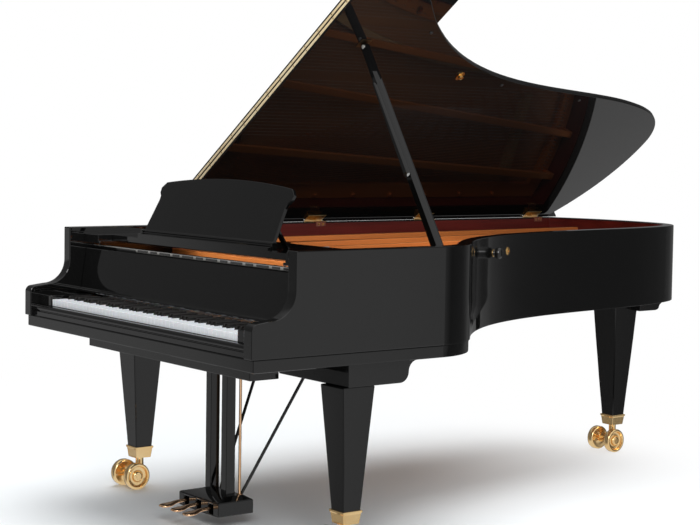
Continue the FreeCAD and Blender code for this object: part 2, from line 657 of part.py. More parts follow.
def bridge(near, far, low, high):
    """A curved bar between two lines of points, from the soundboard up to the strings."""
    edges = []
    for spots in (near, far[::-1]):
        curve = Part.BSplineCurve()
        curve.interpolate(spots)
        edges.append(curve.toShape())
    edges.append(Part.makeLine(near[-1], far[-1]))
    edges.append(Part.makeLine(far[0], near[0]))
    return prism(Part.Face(Part.Wire(Part.__sortEdges__(edges))), low, high)


bridge_top = string_level - s.treble_wire_radius - s.running_gap
long_bridge_shares = (0.10, 0.86)
long_bridge = bridge(bentside_points(s.bridge_inset, *long_bridge_shares),
                     bentside_points(s.bridge_inset + s.bridge_width, *long_bridge_shares),
                     board_top, bridge_top)
bass_bridge_back = s.case_length - s.bass_bridge_inset
bass_bridge_shares = (-0.395, -0.13)
bass_bridge = block(bass_bridge_shares[0] * s.case_width, bass_bridge_shares[1] * s.case_width,
                    bass_bridge_back - s.bridge_width, bass_bridge_back,
                    board_top, bridge_top)
feature("bridges", Part.makeCompound([long_bridge, bass_bridge]))

# Music shelf: a board that slides on two fixed wings, with a lip for the sheets and two lugs for the desk.

shelf_base = s.shelf_top - s.shelf_thickness
shelf_back = s.shelf_front + s.shelf_depth
shelf_solid = block(-s.shelf_half_width, s.shelf_half_width, s.shelf_front, shelf_back, shelf_base,
                    s.shelf_top)
shelf_solid = shelf_solid.fuse(block(-s.desk_half_width, s.desk_half_width, s.shelf_front,
                                     s.shelf_front + s.lip_depth, s.shelf_top, s.shelf_top + s.lip_height))
desk_axis = at(0, s.shelf_front + s.desk_hinge_inset, s.shelf_top + s.desk_hinge_rise)
foot_share = 0.98
desk_foot_half = foot_share * s.desk_half_width
lug_start = desk_foot_half + s.running_gap
for side in (-1, 1):
    near, far = side * lug_start, side * (lug_start + s.lug_width)
    lug_front = s.shelf_front + s.desk_hinge_inset - s.lug_depth / 2
    shelf_solid = shelf_solid.fuse(block(min(near, far), max(near, far), lug_front, lug_front + s.lug_depth,
                                         s.shelf_top, desk_axis.z + s.lug_rise))
    pin_end = desk_axis + FreeCAD.Vector(side * (desk_foot_half - s.desk_pin_length), 0, 0)
    shelf_solid = shelf_solid.fuse(bar(s.desk_pin_radius, pin_end, desk_axis + FreeCAD.Vector(far, 0, 0)))
feature("music_shelf", shelf_solid.removeSplitter())

wing_solids = []
for side in (-1, 1):
    near, far = s.shelf_half_width + s.wing_gap, inner - s.case_fit
    wing = block(near, far, s.shelf_front - s.shelf_travel, shelf_back - s.case_fit, shelf_base, s.shelf_top)
    runner_top = shelf_base - s.running_gap
    wing = wing.fuse(block(s.shelf_half_width - s.rail_depth, far, s.shelf_front - s.shelf_travel,
                           shelf_back - s.case_fit, runner_top - s.rail_height, runner_top))
    wing = wing.fuse(block(near, far, s.shelf_front - s.shelf_travel, shelf_back - s.case_fit,
                           runner_top, shelf_base))
    if side < 0:
        wing = wing.mirror(FreeCAD.Vector(), FreeCAD.Vector(1, 0, 0))
    wing_solids.append(wing.removeSplitter())
feature("shelf_wings", Part.makeCompound(wing_solids))

# Music desk: an arched panel hinged near its foot, leaning back on two props hinged behind it.

desk_side_shares = ((foot_share, 0.0), (0.95, 0.57), (0.958, 0.64), (0.99, 0.70), (1.0, 0.79), (0.945, 0.89))


def desk_spot(side, width_share, height_share):
    return desk_axis + FreeCAD.Vector(side * width_share * s.desk_half_width, 0, height_share * s.desk_height)


right_edge = [desk_spot(1, *shares) for shares in desk_side_shares]
left_edge = [desk_spot(-1, *shares) for shares in desk_side_shares]
drop = FreeCAD.Vector(0, 0, -s.desk_foot)
desk_line = left_edge[::-1] + [left_edge[0] + drop, right_edge[0] + drop] + right_edge
desk_edges = [Part.makeLine(one, two) for one, two in zip(desk_line, desk_line[1:])]
desk_edges.append(Part.Arc(right_edge[-1], desk_spot(1, 0, 1), left_edge[-1]).toShape())
desk_solid = Part.Face(Part.Wire(desk_edges)).extrude(FreeCAD.Vector(0, s.desk_thickness, 0))
foot_end = FreeCAD.Vector(desk_foot_half, 0, 0)
desk_solid = desk_solid.fuse(bar(s.desk_barrel_radius, desk_axis - foot_end, desk_axis + foot_end))
for side in (-1, 1):
    deep = FreeCAD.Vector(side * (desk_foot_half - s.desk_pin_length - s.running_gap), 0, 0)
    mouth = FreeCAD.Vector(side * (desk_foot_half + s.cut_overrun), 0, 0)
    desk_solid = desk_solid.cut(bar(s.desk_pin_radius + s.pin_clearance, desk_axis + deep, desk_axis + mouth))
desk_turn = FreeCAD.Rotation(FreeCAD.Vector(1, 0, 0), -s.desk_lean_angle)
feature("music_desk", desk_solid, FreeCAD.Placement(FreeCAD.Vector(), desk_turn, desk_axis))

strut_end = s.desk_prop_thickness / 2
strut_axis_back = s.desk_thickness + strut_end + s.running_gap
lean = math.radians(s.desk_lean_angle)
strut_drop = (s.desk_hinge_rise + s.desk_prop_height * math.cos(lean) - strut_axis_back * math.sin(lean)
              - strut_end - s.running_gap)
strut_slant = math.radians(s.desk_prop_angle) - lean
strut_reach = strut_drop / math.cos(strut_slant)
strut_axis = desk_axis + desk_turn.multVec(FreeCAD.Vector(0, strut_axis_back, s.desk_prop_height))
desk_props = []
for side in (-1, 1):
    middle = side * s.desk_prop_offset
    low, high = middle - s.desk_prop_width / 2, middle + s.desk_prop_width / 2
    top = FreeCAD.Vector(low, strut_axis.y, strut_axis.z)
    foot = top + FreeCAD.Vector(0, math.sin(strut_slant), -math.cos(strut_slant)) * strut_reach
    across = FreeCAD.Vector(high - low, 0, 0)
    web = FreeCAD.Vector(0, math.cos(strut_slant), math.sin(strut_slant)) * strut_end
    bar_solid = polygon([top - web, foot - web, foot + web, top + web]).extrude(across)
    bar_solid = bar_solid.fuse([bar(strut_end, top, top + across), bar(strut_end, foot, foot + across)])
    desk_props.append(bar_solid.removeSplitter())
feature("desk_props", Part.makeCompound(desk_props))

# Lid: the main lid hinged along the spine, and its front flap folded back on top of it.

lid_base = s.rim_top + s.lid_lift
lid_top = lid_base + s.lid_thickness
lid_axis = at(-half - s.lid_pivot_offset, 0, s.rim_top + s.lid_lift / 2)
lid_turn = FreeCAD.Rotation(FreeCAD.Vector(0, 1, 0), -s.lid_angle)
lid_place = FreeCAD.Placement(FreeCAD.Vector(), lid_turn, lid_axis)
lid_right = half + s.lid_overhang
lid_solid = prism(case_face(-s.lid_overhang, 0), lid_base, lid_top)
lid_solid = lid_solid.common(block(-half, lid_right, s.lid_fold, s.case_length + s.lid_overhang,
                                   lid_base, lid_top))
feature("main_lid", lid_solid, lid_place)

flap_base = lid_top + s.flap_gap
flap_top = flap_base + s.lid_thickness
feature("front_flap", block(-half, lid_right, s.lid_fold, s.lid_fold + s.flap_length, flap_base, flap_top),
        lid_place)

leaf_front = s.lid_fold - s.leaf_thickness
leaf_near = s.knuckle_radius + s.running_gap
fold_axis_y = leaf_front - s.running_gap
fold_axis_z = lid_top + s.flap_gap / 2
fold_leaf = block(-half, lid_right, leaf_front, s.lid_fold, lid_top - leaf_near - s.leaf_height, lid_top)
knuckle = bar(s.knuckle_radius, at(-half, fold_axis_y, fold_axis_z), at(lid_right, fold_axis_y, fold_axis_z))
feature("fold_hinge_lid_leaf", fold_leaf.fuse(knuckle).removeSplitter(), lid_place)
feature("fold_hinge_flap_leaf", block(-half, lid_right, leaf_front, s.lid_fold, flap_base + leaf_near,
                                      flap_base + leaf_near + s.leaf_height), lid_place)

hinge_place_shares = (0.4745, 0.688, 0.9236)
rim_leaves, lid_leaves = [], []
for share in hinge_place_shares:
    start = share * s.case_length - s.hinge_length / 2
    third = s.hinge_length / 3
    end = start + s.hinge_length
    reach = -half + s.hinge_depth
    rim_leaf = block(-half, reach, start, end, s.rim_top, s.rim_top + s.hinge_leaf_thickness)
    tab = block(lid_axis.x, -half, start + third + s.running_gap, end - third - s.running_gap,
                s.rim_top, s.rim_top + s.hinge_leaf_thickness)
    roll = bar(s.hinge_knuckle_radius, at(lid_axis.x, start + third + s.running_gap, lid_axis.z),
               at(lid_axis.x, end - third - s.running_gap, lid_axis.z))
    rim_leaves.append(rim_leaf.fuse([tab, roll]).removeSplitter())
    parts = []
    for low, high in ((start, start + third), (end - third, end)):
        parts.append(block(lid_axis.x, -half, low, high, lid_base - s.hinge_leaf_thickness, lid_base))
        parts.append(bar(s.hinge_knuckle_radius, at(lid_axis.x, low, lid_axis.z),
                         at(lid_axis.x, high, lid_axis.z)))
    lid_leaf = block(-half, reach, start, end, lid_base - s.hinge_leaf_thickness, lid_base)
    lid_leaves.append(lid_leaf.fuse(parts).removeSplitter())
feature("lid_hinge_rim_leaves", Part.makeCompound(rim_leaves))
feature("lid_hinge_lid_leaves", Part.makeCompound(lid_leaves), lid_place)

# Lid prop: nearly square to the open lid, hinged in a bracket on the treble side, with a short prop on
# its face. Its tip just passes below the plate on the lid as it swings through square to the lid.

cheek_gap = s.prop_thickness / 2 + s.running_gap
wall_reach = s.prop_place + cheek_gap + s.bracket_wall - s.corner_depth
wall_x = half - s.corner_radius + math.sqrt((s.corner_radius - lining_inset) ** 2 - wall_reach ** 2)
prop_x = wall_x - s.prop_inset
prop_z = s.rim_top - s.prop_pivot_drop
prop_axis = at(prop_x, s.prop_place, prop_z)
opening = math.radians(s.lid_angle)
prop_lean = math.radians(s.prop_lean_angle)
prop_reach = ((prop_axis.x - lid_axis.x) * math.sin(opening) - (prop_axis.z - lid_axis.z) * math.cos(opening)
              + s.lid_lift / 2 - s.cup_thickness - s.running_gap)
tip_radius = s.prop_tip_width / 2
prop_turn = FreeCAD.Placement(FreeCAD.Vector(), FreeCAD.Rotation(FreeCAD.Vector(0, 1, 0),
                                                                 s.prop_lean_angle - s.lid_angle), prop_axis)


def stick(axis, foot_width, tip_width, length, front, back):
    """A flat tapered stick with round ends, standing up from its axis, between two planes of y."""
    tip = FreeCAD.Vector(0, 0, length - tip_width / 2)
    across = FreeCAD.Vector(1, 0, 0)
    base = FreeCAD.Vector(axis.x, front, axis.z)
    deep = FreeCAD.Vector(0, back - front, 0)
    corners = [base - across * (foot_width / 2), base + across * (foot_width / 2),
               base + tip + across * (tip_width / 2), base + tip - across * (tip_width / 2)]
    solid = polygon(corners).extrude(deep)
    ends = [bar(foot_width / 2, base, base + deep), bar(tip_width / 2, base + tip, base + tip + deep)]
    solid = solid.fuse(ends)
    return solid.removeSplitter()


prop_front = prop_axis.y - s.prop_thickness / 2
prop_back = prop_axis.y + s.prop_thickness / 2
prop_solid = stick(prop_axis, s.prop_width, s.prop_tip_width, prop_reach, prop_front, prop_back)
bore = Part.makeCylinder(s.prop_pin_radius + s.pin_clearance, s.prop_thickness,
                         FreeCAD.Vector(prop_axis.x, prop_front, prop_axis.z), FreeCAD.Vector(0, 1, 0))
feature("lid_prop", prop_solid.cut(bore), prop_turn)

short_axis = prop_axis + FreeCAD.Vector(0, 0, s.short_prop_height)
short_back = prop_front - s.running_gap
feature("short_prop", stick(short_axis, s.short_prop_width, s.short_prop_width / 2, s.short_prop_length,
                            short_back - s.short_prop_thickness, short_back), prop_turn)

bracket = bar(s.prop_pin_radius, prop_axis + FreeCAD.Vector(0, -cheek_gap - s.bracket_wall, 0),
              prop_axis + FreeCAD.Vector(0, cheek_gap + s.bracket_wall, 0))
for side in (-1, 1):
    near = s.prop_place + side * cheek_gap
    far = near + side * s.bracket_wall
    bracket = bracket.fuse(block(prop_x - s.bracket_width / 2, wall_x - s.running_gap,
                                 min(near, far), max(near, far),
                                 prop_z - s.bracket_width / 2, prop_z + s.bracket_width / 2))
bracket = bracket.fuse(block(wall_x - s.bracket_wall, wall_x - s.running_gap,
                             s.prop_place - cheek_gap, s.prop_place + cheek_gap,
                             prop_z - s.bracket_width / 2, prop_z + s.bracket_width / 2))
feature("prop_bracket", bracket.removeSplitter())

cup_centre = prop_axis.x - lid_axis.x
cup_along = (cup_centre * math.cos(opening) + (prop_axis.z - lid_axis.z) * math.sin(opening) + lid_axis.x
             + (prop_reach - tip_radius) * math.sin(prop_lean))
feature("prop_plate", block(cup_along - s.cup_width / 2, cup_along + s.cup_width / 2,
                            s.prop_place - s.cup_width / 2, s.prop_place + s.cup_width / 2,
                            lid_base - s.cup_thickness, lid_base), lid_place)

# Lock: a turning knob and a rosette on the outside of the bentside.

knob_share, rosette_share = 0.22, 0.29
lock_height = s.rim_top - s.lock_drop


def on_bentside(share, stages):
    """Round discs stacked outwards from the bentside, each with a radius and a thickness."""
    point, along, inward = bentside_frame(share)
    spot = FreeCAD.Vector(point.x, point.y, lock_height) - inward * s.running_gap
    solids = []
    for radius, thickness in stages:
        solids.append(Part.makeCylinder(radius, thickness, spot, -inward))
        spot = spot - inward * thickness
    return solids[0].multiFuse(solids[1:]).removeSplitter() if len(solids) > 1 else solids[0]


feature("lock_knob", on_bentside(knob_share, ((s.knob_neck_radius, s.knob_neck_length),
                                              (s.knob_radius, s.knob_length))))
feature("lock_rosette", on_bentside(rosette_share, ((s.rosette_radius, s.rosette_thickness),)))

# Legs: square and tapered, under shaped blocks, each in a ferrule on a twin-wheel caster.

leg_side = half - s.leg_inset
leg_slope = (s.leg_top_width - s.leg_foot_width) / (s.leg_top - s.leg_foot_height)
leg_spots = {
    "front_left": (-leg_side, s.leg_setback, s.leg_top),
    "front_right": (leg_side, s.leg_setback, s.leg_top),
    "rear": (-s.rear_leg_offset, s.rear_leg_place, s.rim_base),
}
legs, ferrules = [], []
for name, (x, y, top) in leg_spots.items():
    top_width = s.leg_foot_width + leg_slope * (top - s.leg_foot_height)
    legs.append(loft(square(x, y, s.leg_foot_height, s.leg_foot_width, s.leg_foot_width),
                     square(x, y, top, top_width, top_width)))
    low = s.leg_foot_height - s.ferrule_height
    lip = s.leg_foot_height - s.ferrule_lip_height
    cup = loft(square(x, y, low, s.ferrule_foot_width, s.ferrule_foot_width),
               square(x, y, lip, s.leg_foot_width, s.leg_foot_width))
    flange = loft(square(x, y, lip, s.ferrule_flange_width, s.ferrule_flange_width),
                  square(x, y, s.leg_foot_height, s.ferrule_flange_width, s.ferrule_flange_width))
    ferrules.append(cup.fuse(flange).removeSplitter())
feature("front_legs", Part.makeCompound(legs[:2]))
feature("rear_leg", legs[2])
feature("leg_ferrules", Part.makeCompound(ferrules))

block_outer = half - s.leg_block_inset
block_inner = block_outer - s.leg_block_width
block_end = s.leg_block_front + s.leg_block_depth
ogee = s.leg_block_round / 2
slant = math.sqrt(0.5)
ogee_start = block_end - s.leg_block_round


def leg_block(low_x, high_x):
    """A block with an S-curve at its rear end."""
    def spot(y, z):
        return at(low_x, y, z)
    knee = s.leg_top + ogee
    edges = [
        Part.makeLine(spot(s.leg_block_front, s.keybed_base), spot(s.leg_block_front, s.leg_top)),
        Part.makeLine(spot(s.leg_block_front, s.leg_top), spot(ogee_start, s.leg_top)),
        Part.Arc(spot(ogee_start, s.leg_top), spot(ogee_start + ogee * slant, knee - ogee * slant),
                 spot(ogee_start + ogee, knee)).toShape(),
        Part.Arc(spot(ogee_start + ogee, knee),
                 spot(block_end - ogee * slant, knee + ogee * slant),
                 spot(block_end, knee + ogee)).toShape(),
        Part.makeLine(spot(block_end, knee + ogee), spot(block_end, s.keybed_base)),
        Part.makeLine(spot(block_end, s.keybed_base), spot(s.leg_block_front, s.keybed_base)),
    ]
    return Part.Face(Part.Wire(edges)).extrude(FreeCAD.Vector(high_x - low_x, 0, 0))


rear_pad = block(-s.rear_leg_offset - s.rear_pad_half_width, -s.rear_leg_offset + s.rear_pad_half_width,
                 s.rear_leg_place - s.leg_top_width, s.rear_leg_place + s.leg_top_width / 2,
                 s.rim_base, post_low)
feature("leg_blocks", Part.makeCompound([leg_block(-block_outer, -block_inner),
                                         leg_block(block_inner, block_outer), rear_pad]))

fork_low = s.wheel_radius - s.fork_height / 2
swivel_top = s.leg_foot_height - s.ferrule_height - s.running_gap
for name, (x, y, top) in leg_spots.items():
    hub_y = y - s.caster_trail
    stem = Part.makeCylinder(s.stem_radius, swivel_top - fork_low, at(x, y, fork_low))
    arm = block(x - s.fork_width / 2, x + s.fork_width / 2, hub_y - s.fork_height / 2, y + s.stem_radius,
                fork_low, fork_low + s.fork_height)
    brake = block(x - s.brake_thickness, x + s.brake_thickness, hub_y - s.fork_height / 2 - s.brake_length,
                  hub_y, s.wheel_radius, s.wheel_radius + s.brake_thickness)
    axle = bar(s.axle_radius, at(x - s.wheel_offset - s.wheel_width / 2, hub_y, s.wheel_radius),
               at(x + s.wheel_offset + s.wheel_width / 2, hub_y, s.wheel_radius))
    feature("caster_fork_" + name, stem.fuse([arm, brake, axle]).removeSplitter())
    wheels = []
    for side in (-1, 1):
        inside = at(x + side * (s.wheel_offset - s.wheel_width / 2), hub_y, s.wheel_radius)
        outward = FreeCAD.Vector(side, 0, 0)
        wheel = Part.makeCylinder(s.wheel_radius, s.wheel_width, inside, outward)
        wheel = wheel.cut(Part.makeCylinder(s.axle_radius + s.axle_gap, s.wheel_width, inside, outward))
        wheels.append(wheel)
    feature("caster_wheels_" + name, Part.makeCompound(wheels))

# Pedal lyre: a beam under the key bed, two posts, the pedal box, braces, pedals and their rods.

keep(box("lyre_beam_bar", "2 * beam_half_width", "beam_depth", "keybed_base - beam_base",
         "0 - beam_half_width", "beam_front", "beam_base"), "lyre_beam")
posts = []
for name, side in (("left_post", "0 - post_offset"), ("right_post", "post_offset")):
    posts.append(box(name, "post_side", "post_side", "keybed_base - box_lift - box_height",
                     "%s - post_side / 2" % side, "post_place", "box_lift + box_height"))
keep(group("lyre_post_pair", posts), "lyre_posts")

pedal_level = s.box_lift + s.pedal_rise
rod_place = s.pedal_pivot + s.rod_offset
box_back = s.box_front + s.box_depth
box_top = s.box_lift + s.box_height
pedal_end = s.pedal_pivot + s.pedal_tail
box_solid = block(-s.box_half_width, s.box_half_width, s.box_front, box_back, s.box_lift, box_top)
pedal_lines = {"left": -s.pedal_pitch, "middle": 0, "right": s.pedal_pitch}
for line in pedal_lines.values():
    slot = s.pedal_width / 2 + s.slot_gap
    box_solid = box_solid.cut(block(line - slot, line + slot, s.box_front - s.cut_overrun,
                                    pedal_end + s.slot_gap, s.box_lift + s.box_wall / 2,
                                    box_top - s.box_wall))
    box_solid = box_solid.cut(Part.makeCylinder(s.rod_radius + s.rod_gap, box_top, at(line, rod_place)))
box_solid = box_solid.fuse([bar(s.pedal_pin_radius, at(-s.box_half_width, s.pedal_pivot, pedal_level),
                                at(s.box_half_width, s.pedal_pivot, pedal_level))])
feature("pedal_box", box_solid.removeSplitter())

pedal_thick = s.pedal_thickness / 2
for name, line in pedal_lines.items():
    width = s.pedal_width / 2
    shaft = block(line - width / 2, line + width / 2, s.box_front - s.box_wall, pedal_end,
                  pedal_level - pedal_thick, pedal_level + pedal_thick)
    tongue = block(line - width, line + width, s.pedal_tip + width, s.box_front - s.box_wall,
                   pedal_level - pedal_thick, pedal_level + pedal_thick)
    tip = Part.makeCylinder(width, s.pedal_thickness,
                            at(line, s.pedal_tip + width, pedal_level - pedal_thick))
    pedal = shaft.fuse([tongue, tip])
    pedal = pedal.cut(bar(s.pedal_pin_radius + s.pin_clearance, at(line - width, s.pedal_pivot, pedal_level),
                          at(line + width, s.pedal_pivot, pedal_level)))
    feature("pedal_" + name, pedal.removeSplitter())
    rod_low = pedal_level + pedal_thick + s.rod_gap
    feature("pedal_rod_" + name, Part.makeCylinder(s.rod_radius, s.keybed_base - s.rod_headroom - rod_low,
                                                   at(line, rod_place, rod_low)))

braces = []
brace_room = block(-s.case_width, s.case_width, 0, s.case_length, box_top, s.keybed_base)
for side in (-1, 1):
    foot = at(side * s.brace_foot_offset, s.brace_foot, box_top)
    head = at(side * s.brace_head_offset, s.brace_head_depth, s.keybed_base)
    extra = (head - foot).normalize() * s.cut_overrun
    braces.append(bar(s.brace_radius, foot - extra, head + extra).common(brace_room).Solids[0])
feature("lyre_braces", Part.makeCompound(braces))

doc.recompute()
for thing in doc.Objects:
    if "Invalid" in thing.State or "Error" in thing.State:
        raise RuntimeError("%s is in state %s" % (thing.Name, thing.State))
for piece in pieces:
    if piece.Shape.isNull() or not piece.Shape.isValid():
        raise RuntimeError("%s has no valid shape" % piece.Label)
os.makedirs("parts", exist_ok=True)
for piece in pieces:
    piece.Shape.exportStep("parts/%s.step" % piece.Label)
print(len(pieces), "sub-parts written")
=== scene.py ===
import math

import bmesh
import bpy
from mathutils import Matrix, Vector


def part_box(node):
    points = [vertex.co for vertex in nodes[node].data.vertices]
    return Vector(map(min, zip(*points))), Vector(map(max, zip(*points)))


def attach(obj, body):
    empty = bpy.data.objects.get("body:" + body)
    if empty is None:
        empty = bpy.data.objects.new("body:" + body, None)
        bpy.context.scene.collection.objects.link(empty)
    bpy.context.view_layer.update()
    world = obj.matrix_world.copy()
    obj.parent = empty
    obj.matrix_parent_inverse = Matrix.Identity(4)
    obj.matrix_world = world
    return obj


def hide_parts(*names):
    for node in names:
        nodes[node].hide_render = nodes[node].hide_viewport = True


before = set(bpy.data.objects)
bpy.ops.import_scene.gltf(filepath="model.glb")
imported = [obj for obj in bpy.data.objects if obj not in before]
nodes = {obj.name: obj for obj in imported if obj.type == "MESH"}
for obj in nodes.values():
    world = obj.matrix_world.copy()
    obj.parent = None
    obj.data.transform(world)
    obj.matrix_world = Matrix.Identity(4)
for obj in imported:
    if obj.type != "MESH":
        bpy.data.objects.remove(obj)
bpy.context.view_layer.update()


# ---- Rim --------------------------------------------------------------------------------------
# The wall of the case and its two arms: hardwood layers bent and glued in one piece, sprayed with
# black polyester and polished to a mirror. Its edges are eased by hand, so each catches the light.

class Socket:
    """A socket in a finish's node tree; sums on it add Math nodes."""

    def __init__(self, tree, socket=None):
        self.tree, self.socket = tree, socket

    def node(self, kind, settings=None, inputs=None, out=0):
        """Adds a node: its settings come first, then the values or links of its sockets."""
        made = self.tree.nodes.new("ShaderNode" + kind)
        for name, value in (settings or {}).items():
            setattr(made, name, value)
        for name, value in (inputs or {}).items():
            self.feed(made.inputs[name], value)
        return Socket(self.tree, made.outputs[out])

    def feed(self, target, value):
        if isinstance(value, Socket):
            self.tree.links.new(value.socket, target)
        else:
            target.default_value = value

    def sum(self, operation, left, right):
        return self.node("Math", {"operation": operation}, {0: left, 1: right})

    def __add__(self, other):
        return self.sum("ADD", self, other)

    def __radd__(self, other):
        return self.sum("ADD", other, self)

    def __sub__(self, other):
        return self.sum("SUBTRACT", self, other)

    def __rsub__(self, other):
        return self.sum("SUBTRACT", other, self)

    def __mul__(self, other):
        return self.sum("MULTIPLY", self, other)

    def __rmul__(self, other):
        return self.sum("MULTIPLY", other, self)

    def __gt__(self, other):
        return self.sum("GREATER_THAN", self, other)


def new_finish(name):
    """A material, the start of its node tree and the place on the piece, in metres."""
    material = bpy.data.materials.new(name)
    material.use_nodes = True
    start = Socket(material.node_tree)
    return material, start, start.node("TexCoord", out="Object")


def coat(material, start, **sockets):
    """Sets sockets of the material's shader, a number, a colour or a link each."""
    shader = material.node_tree.nodes["Principled BSDF"]
    for name, value in sockets.items():
        start.feed(shader.inputs[name.replace("_", " ")], value)
    return material


def drawn(start, place, scale, turn=(0.0, 0.0, 0.0)):
    """The place, squeezed or drawn out along each axis."""
    return start.node("Mapping", None, {"Vector": place, "Scale": scale, "Rotation": turn})


def noise(start, place, scale, detail=2.0):
    return start.node("TexNoise", None, {"Vector": place, "Scale": scale, "Detail": detail})


def between(start, share, low, high):
    """A share of zero to one, spread out from the part of it between low and high."""
    return start.node("MapRange", None, {"Value": share, "From Min": low, "From Max": high})


def mixed(start, share, first, second):
    """A mix of two colours, each fixed or from another node."""
    first, second = (shade if isinstance(shade, Socket) else (*shade, 1.0)
                     for shade in (first, second))
    return start.node("Mix", {"data_type": "RGBA"}, {0: share, 6: first, 7: second}, out=2)


def bumped(start, height, strength, depth):
    return start.node("Bump", None, {"Height": height, "Strength": strength, "Distance": depth})


WELD_REACH, SHARP_EDGE = 0.0002, math.radians(35.0)


def eased(thing, width, clamped=False):
    """Rounds the sharp edges of a piece a little."""
    weld = thing.modifiers.new("weld", "WELD")
    weld.merge_threshold = WELD_REACH
    ease = thing.modifiers.new("ease", "BEVEL")
    ease.width, ease.segments = width, 2
    ease.limit_method, ease.angle_limit = "ANGLE", SHARP_EDGE
    ease.loop_slide, ease.use_clamp_overlap = False, clamped
    flat = thing.modifiers.new("flat", "WEIGHTED_NORMAL")
    flat.keep_sharp = True


def dress(node, material, ease=0.0, clamped=False):
    """Gives a solid its finish, and rounds its edges where an ease is named."""
    thing = nodes[node]
    thing.data.materials.clear()
    thing.data.materials.append(material)
    if ease:
        eased(thing, ease, clamped)


def polished_black(name, shade, rough, wave, gloss=0.5):
    """Black polyester: a deep mirror with polishing haze and the faint waves of rubbed lacquer."""
    material, start, place = new_finish(name)
    haze = noise(start, place, 2.3, 4.0)
    rubbing = noise(start, place, 160.0, 3.0)
    colour = mixed(start, haze, [0.75 * shade] * 3, [1.3 * shade] * 3)
    ripple = noise(start, place, 7.0, 1.0)
    return coat(material, start, Base_Color=colour, Specular_IOR_Level=gloss,
                Roughness=rough * (0.6 + 0.5 * haze + 0.2 * rubbing),
                Normal=bumped(start, ripple, wave, 0.0012))


black_lacquer = polished_black("black_lacquer", shade=0.0032, rough=0.03, wave=0.012)
dress("rim", black_lacquer, ease=0.0030)


# ---- Key bed, key blocks and key slip ----------------------------------------------------------
# The bed is a thick glued panel that carries the keyboard, closed at both ends by blocks. The slip
# in front of the keys is a moulding with a bead over a narrow quirk; all are black and polished.

dress("keybed", black_lacquer, ease=0.0034)
dress("key_blocks", black_lacquer, ease=0.0018)

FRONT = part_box("rim")[0].y
MM_PER_M = 1000
SEAM = 0.000005


def around(steps):
    """The angles of one full turn, in equal steps."""
    return [math.tau * step / steps for step in range(steps)]


class Form:
    """A mesh under construction, in millimetres, with y counted from the front of the arms."""

    def __init__(self):
        self.points, self.faces = [], []

    def add(self, points, faces):
        first = len(self.points)
        self.points += [Vector(point) for point in points]
        self.faces += [[first + index for index in face] for face in faces]
        return self

    def rings(self, rings, closed=False):
        """Joins rings of points, each of the same count, and caps the two ends."""
        count = len(rings[0])
        pairs = list(zip(range(len(rings)), range(1, len(rings))))
        if closed:
            pairs.append((len(rings) - 1, 0))
        faces = []
        for a, b in pairs:
            for k in range(count):
                after = (k + 1) % count
                faces.append((a * count + k, a * count + after, b * count + after, b * count + k))
        if not closed:
            faces += [range(count)[::-1], range((len(rings) - 1) * count, len(rings) * count)]
        return self.add([point for ring in rings for point in ring], faces)

    def run(self, profile, low, high):
        """A profile of y and z pairs, drawn out from one x to another."""
        return self.rings([[(x, y, z) for y, z in profile] for x in (low, high)])

    def slab(self, outline, low, high):
        """An outline of x and y pairs, thickened from one height to another."""
        return self.rings([[(x, y, z) for x, y in outline] for z in (low, high)])

    def turned(self, profile, origin, axis, steps=28, closed=False):
        """Turned on a lathe: pairs of radius and height along the axis."""
        axis = Vector(axis).normalized()
        side = axis.orthogonal().normalized()
        other = axis.cross(side)
        rings = []
        for radius, height in profile:
            centre = Vector(origin) + axis * height
            rings.append([centre + radius * (math.cos(turn) * side + math.sin(turn) * other)
                          for turn in around(steps)])
        return self.rings(rings, closed)

    def screw(self, origin, outward, radius, rise=0.5):
        """A slotted screw head: two lands, parted by a slot, over a sunk floor."""
        outward = Vector(outward).normalized()
        side = outward.orthogonal().normalized()
        other = outward.cross(side)
        origin = Vector(origin)
        slot, lip, brow = 0.16 * radius, 0.75, 0.3 * rise
        self.turned([(radius, -0.2), (radius, brow)], origin, outward, 16)
        start = math.asin(slot / radius)
        turns = [start + (math.pi - 2 * start) * step / 8 for step in range(9)]
        for sign in (1, -1):
            land = []
            for share, height in ((1.0, brow), (lip + 0.15, rise), (lip, rise)):
                land.append([origin + outward * height + sign * (
                    share * radius * math.cos(turn) * side
                    + max(share * radius * math.sin(turn), slot) * other) for turn in turns])
            self.rings(land)
        return self

    def swung(self, pivot, axis, degrees):
        """Turns what is there about an axis."""
        turn = Matrix.Rotation(math.radians(degrees), 3, Vector(axis))
        pivot = Vector(pivot)
        self.points = [turn @ (point - pivot) + pivot for point in self.points]
        return self

    def make(self, name, material, body, slot, hides=(), ease=0.0, crease=38.0):
        """Turns the form into a piece that rides on a body and may stand for solids."""
        mesh = bpy.data.meshes.new(name)
        mesh.from_pydata([(x / MM_PER_M, y / MM_PER_M + FRONT, z / MM_PER_M)
                          for x, y, z in self.points], [], self.faces)
        skin = bmesh.new()
        skin.from_mesh(mesh)
        bmesh.ops.remove_doubles(skin, verts=skin.verts, dist=SEAM)
        bmesh.ops.recalc_face_normals(skin, faces=skin.faces)
        skin.to_mesh(mesh)
        skin.free()
        mesh.shade_smooth()
        mesh.set_sharp_from_angle(angle=math.radians(crease))
        mesh.materials.append(material)
        thing = bpy.data.objects.new(name, mesh)
        bpy.context.scene.collection.objects.link(thing)
        if ease:
            eased(thing, ease)
        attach(thing, body)
        if hides:
            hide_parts(*hides)
        return thing


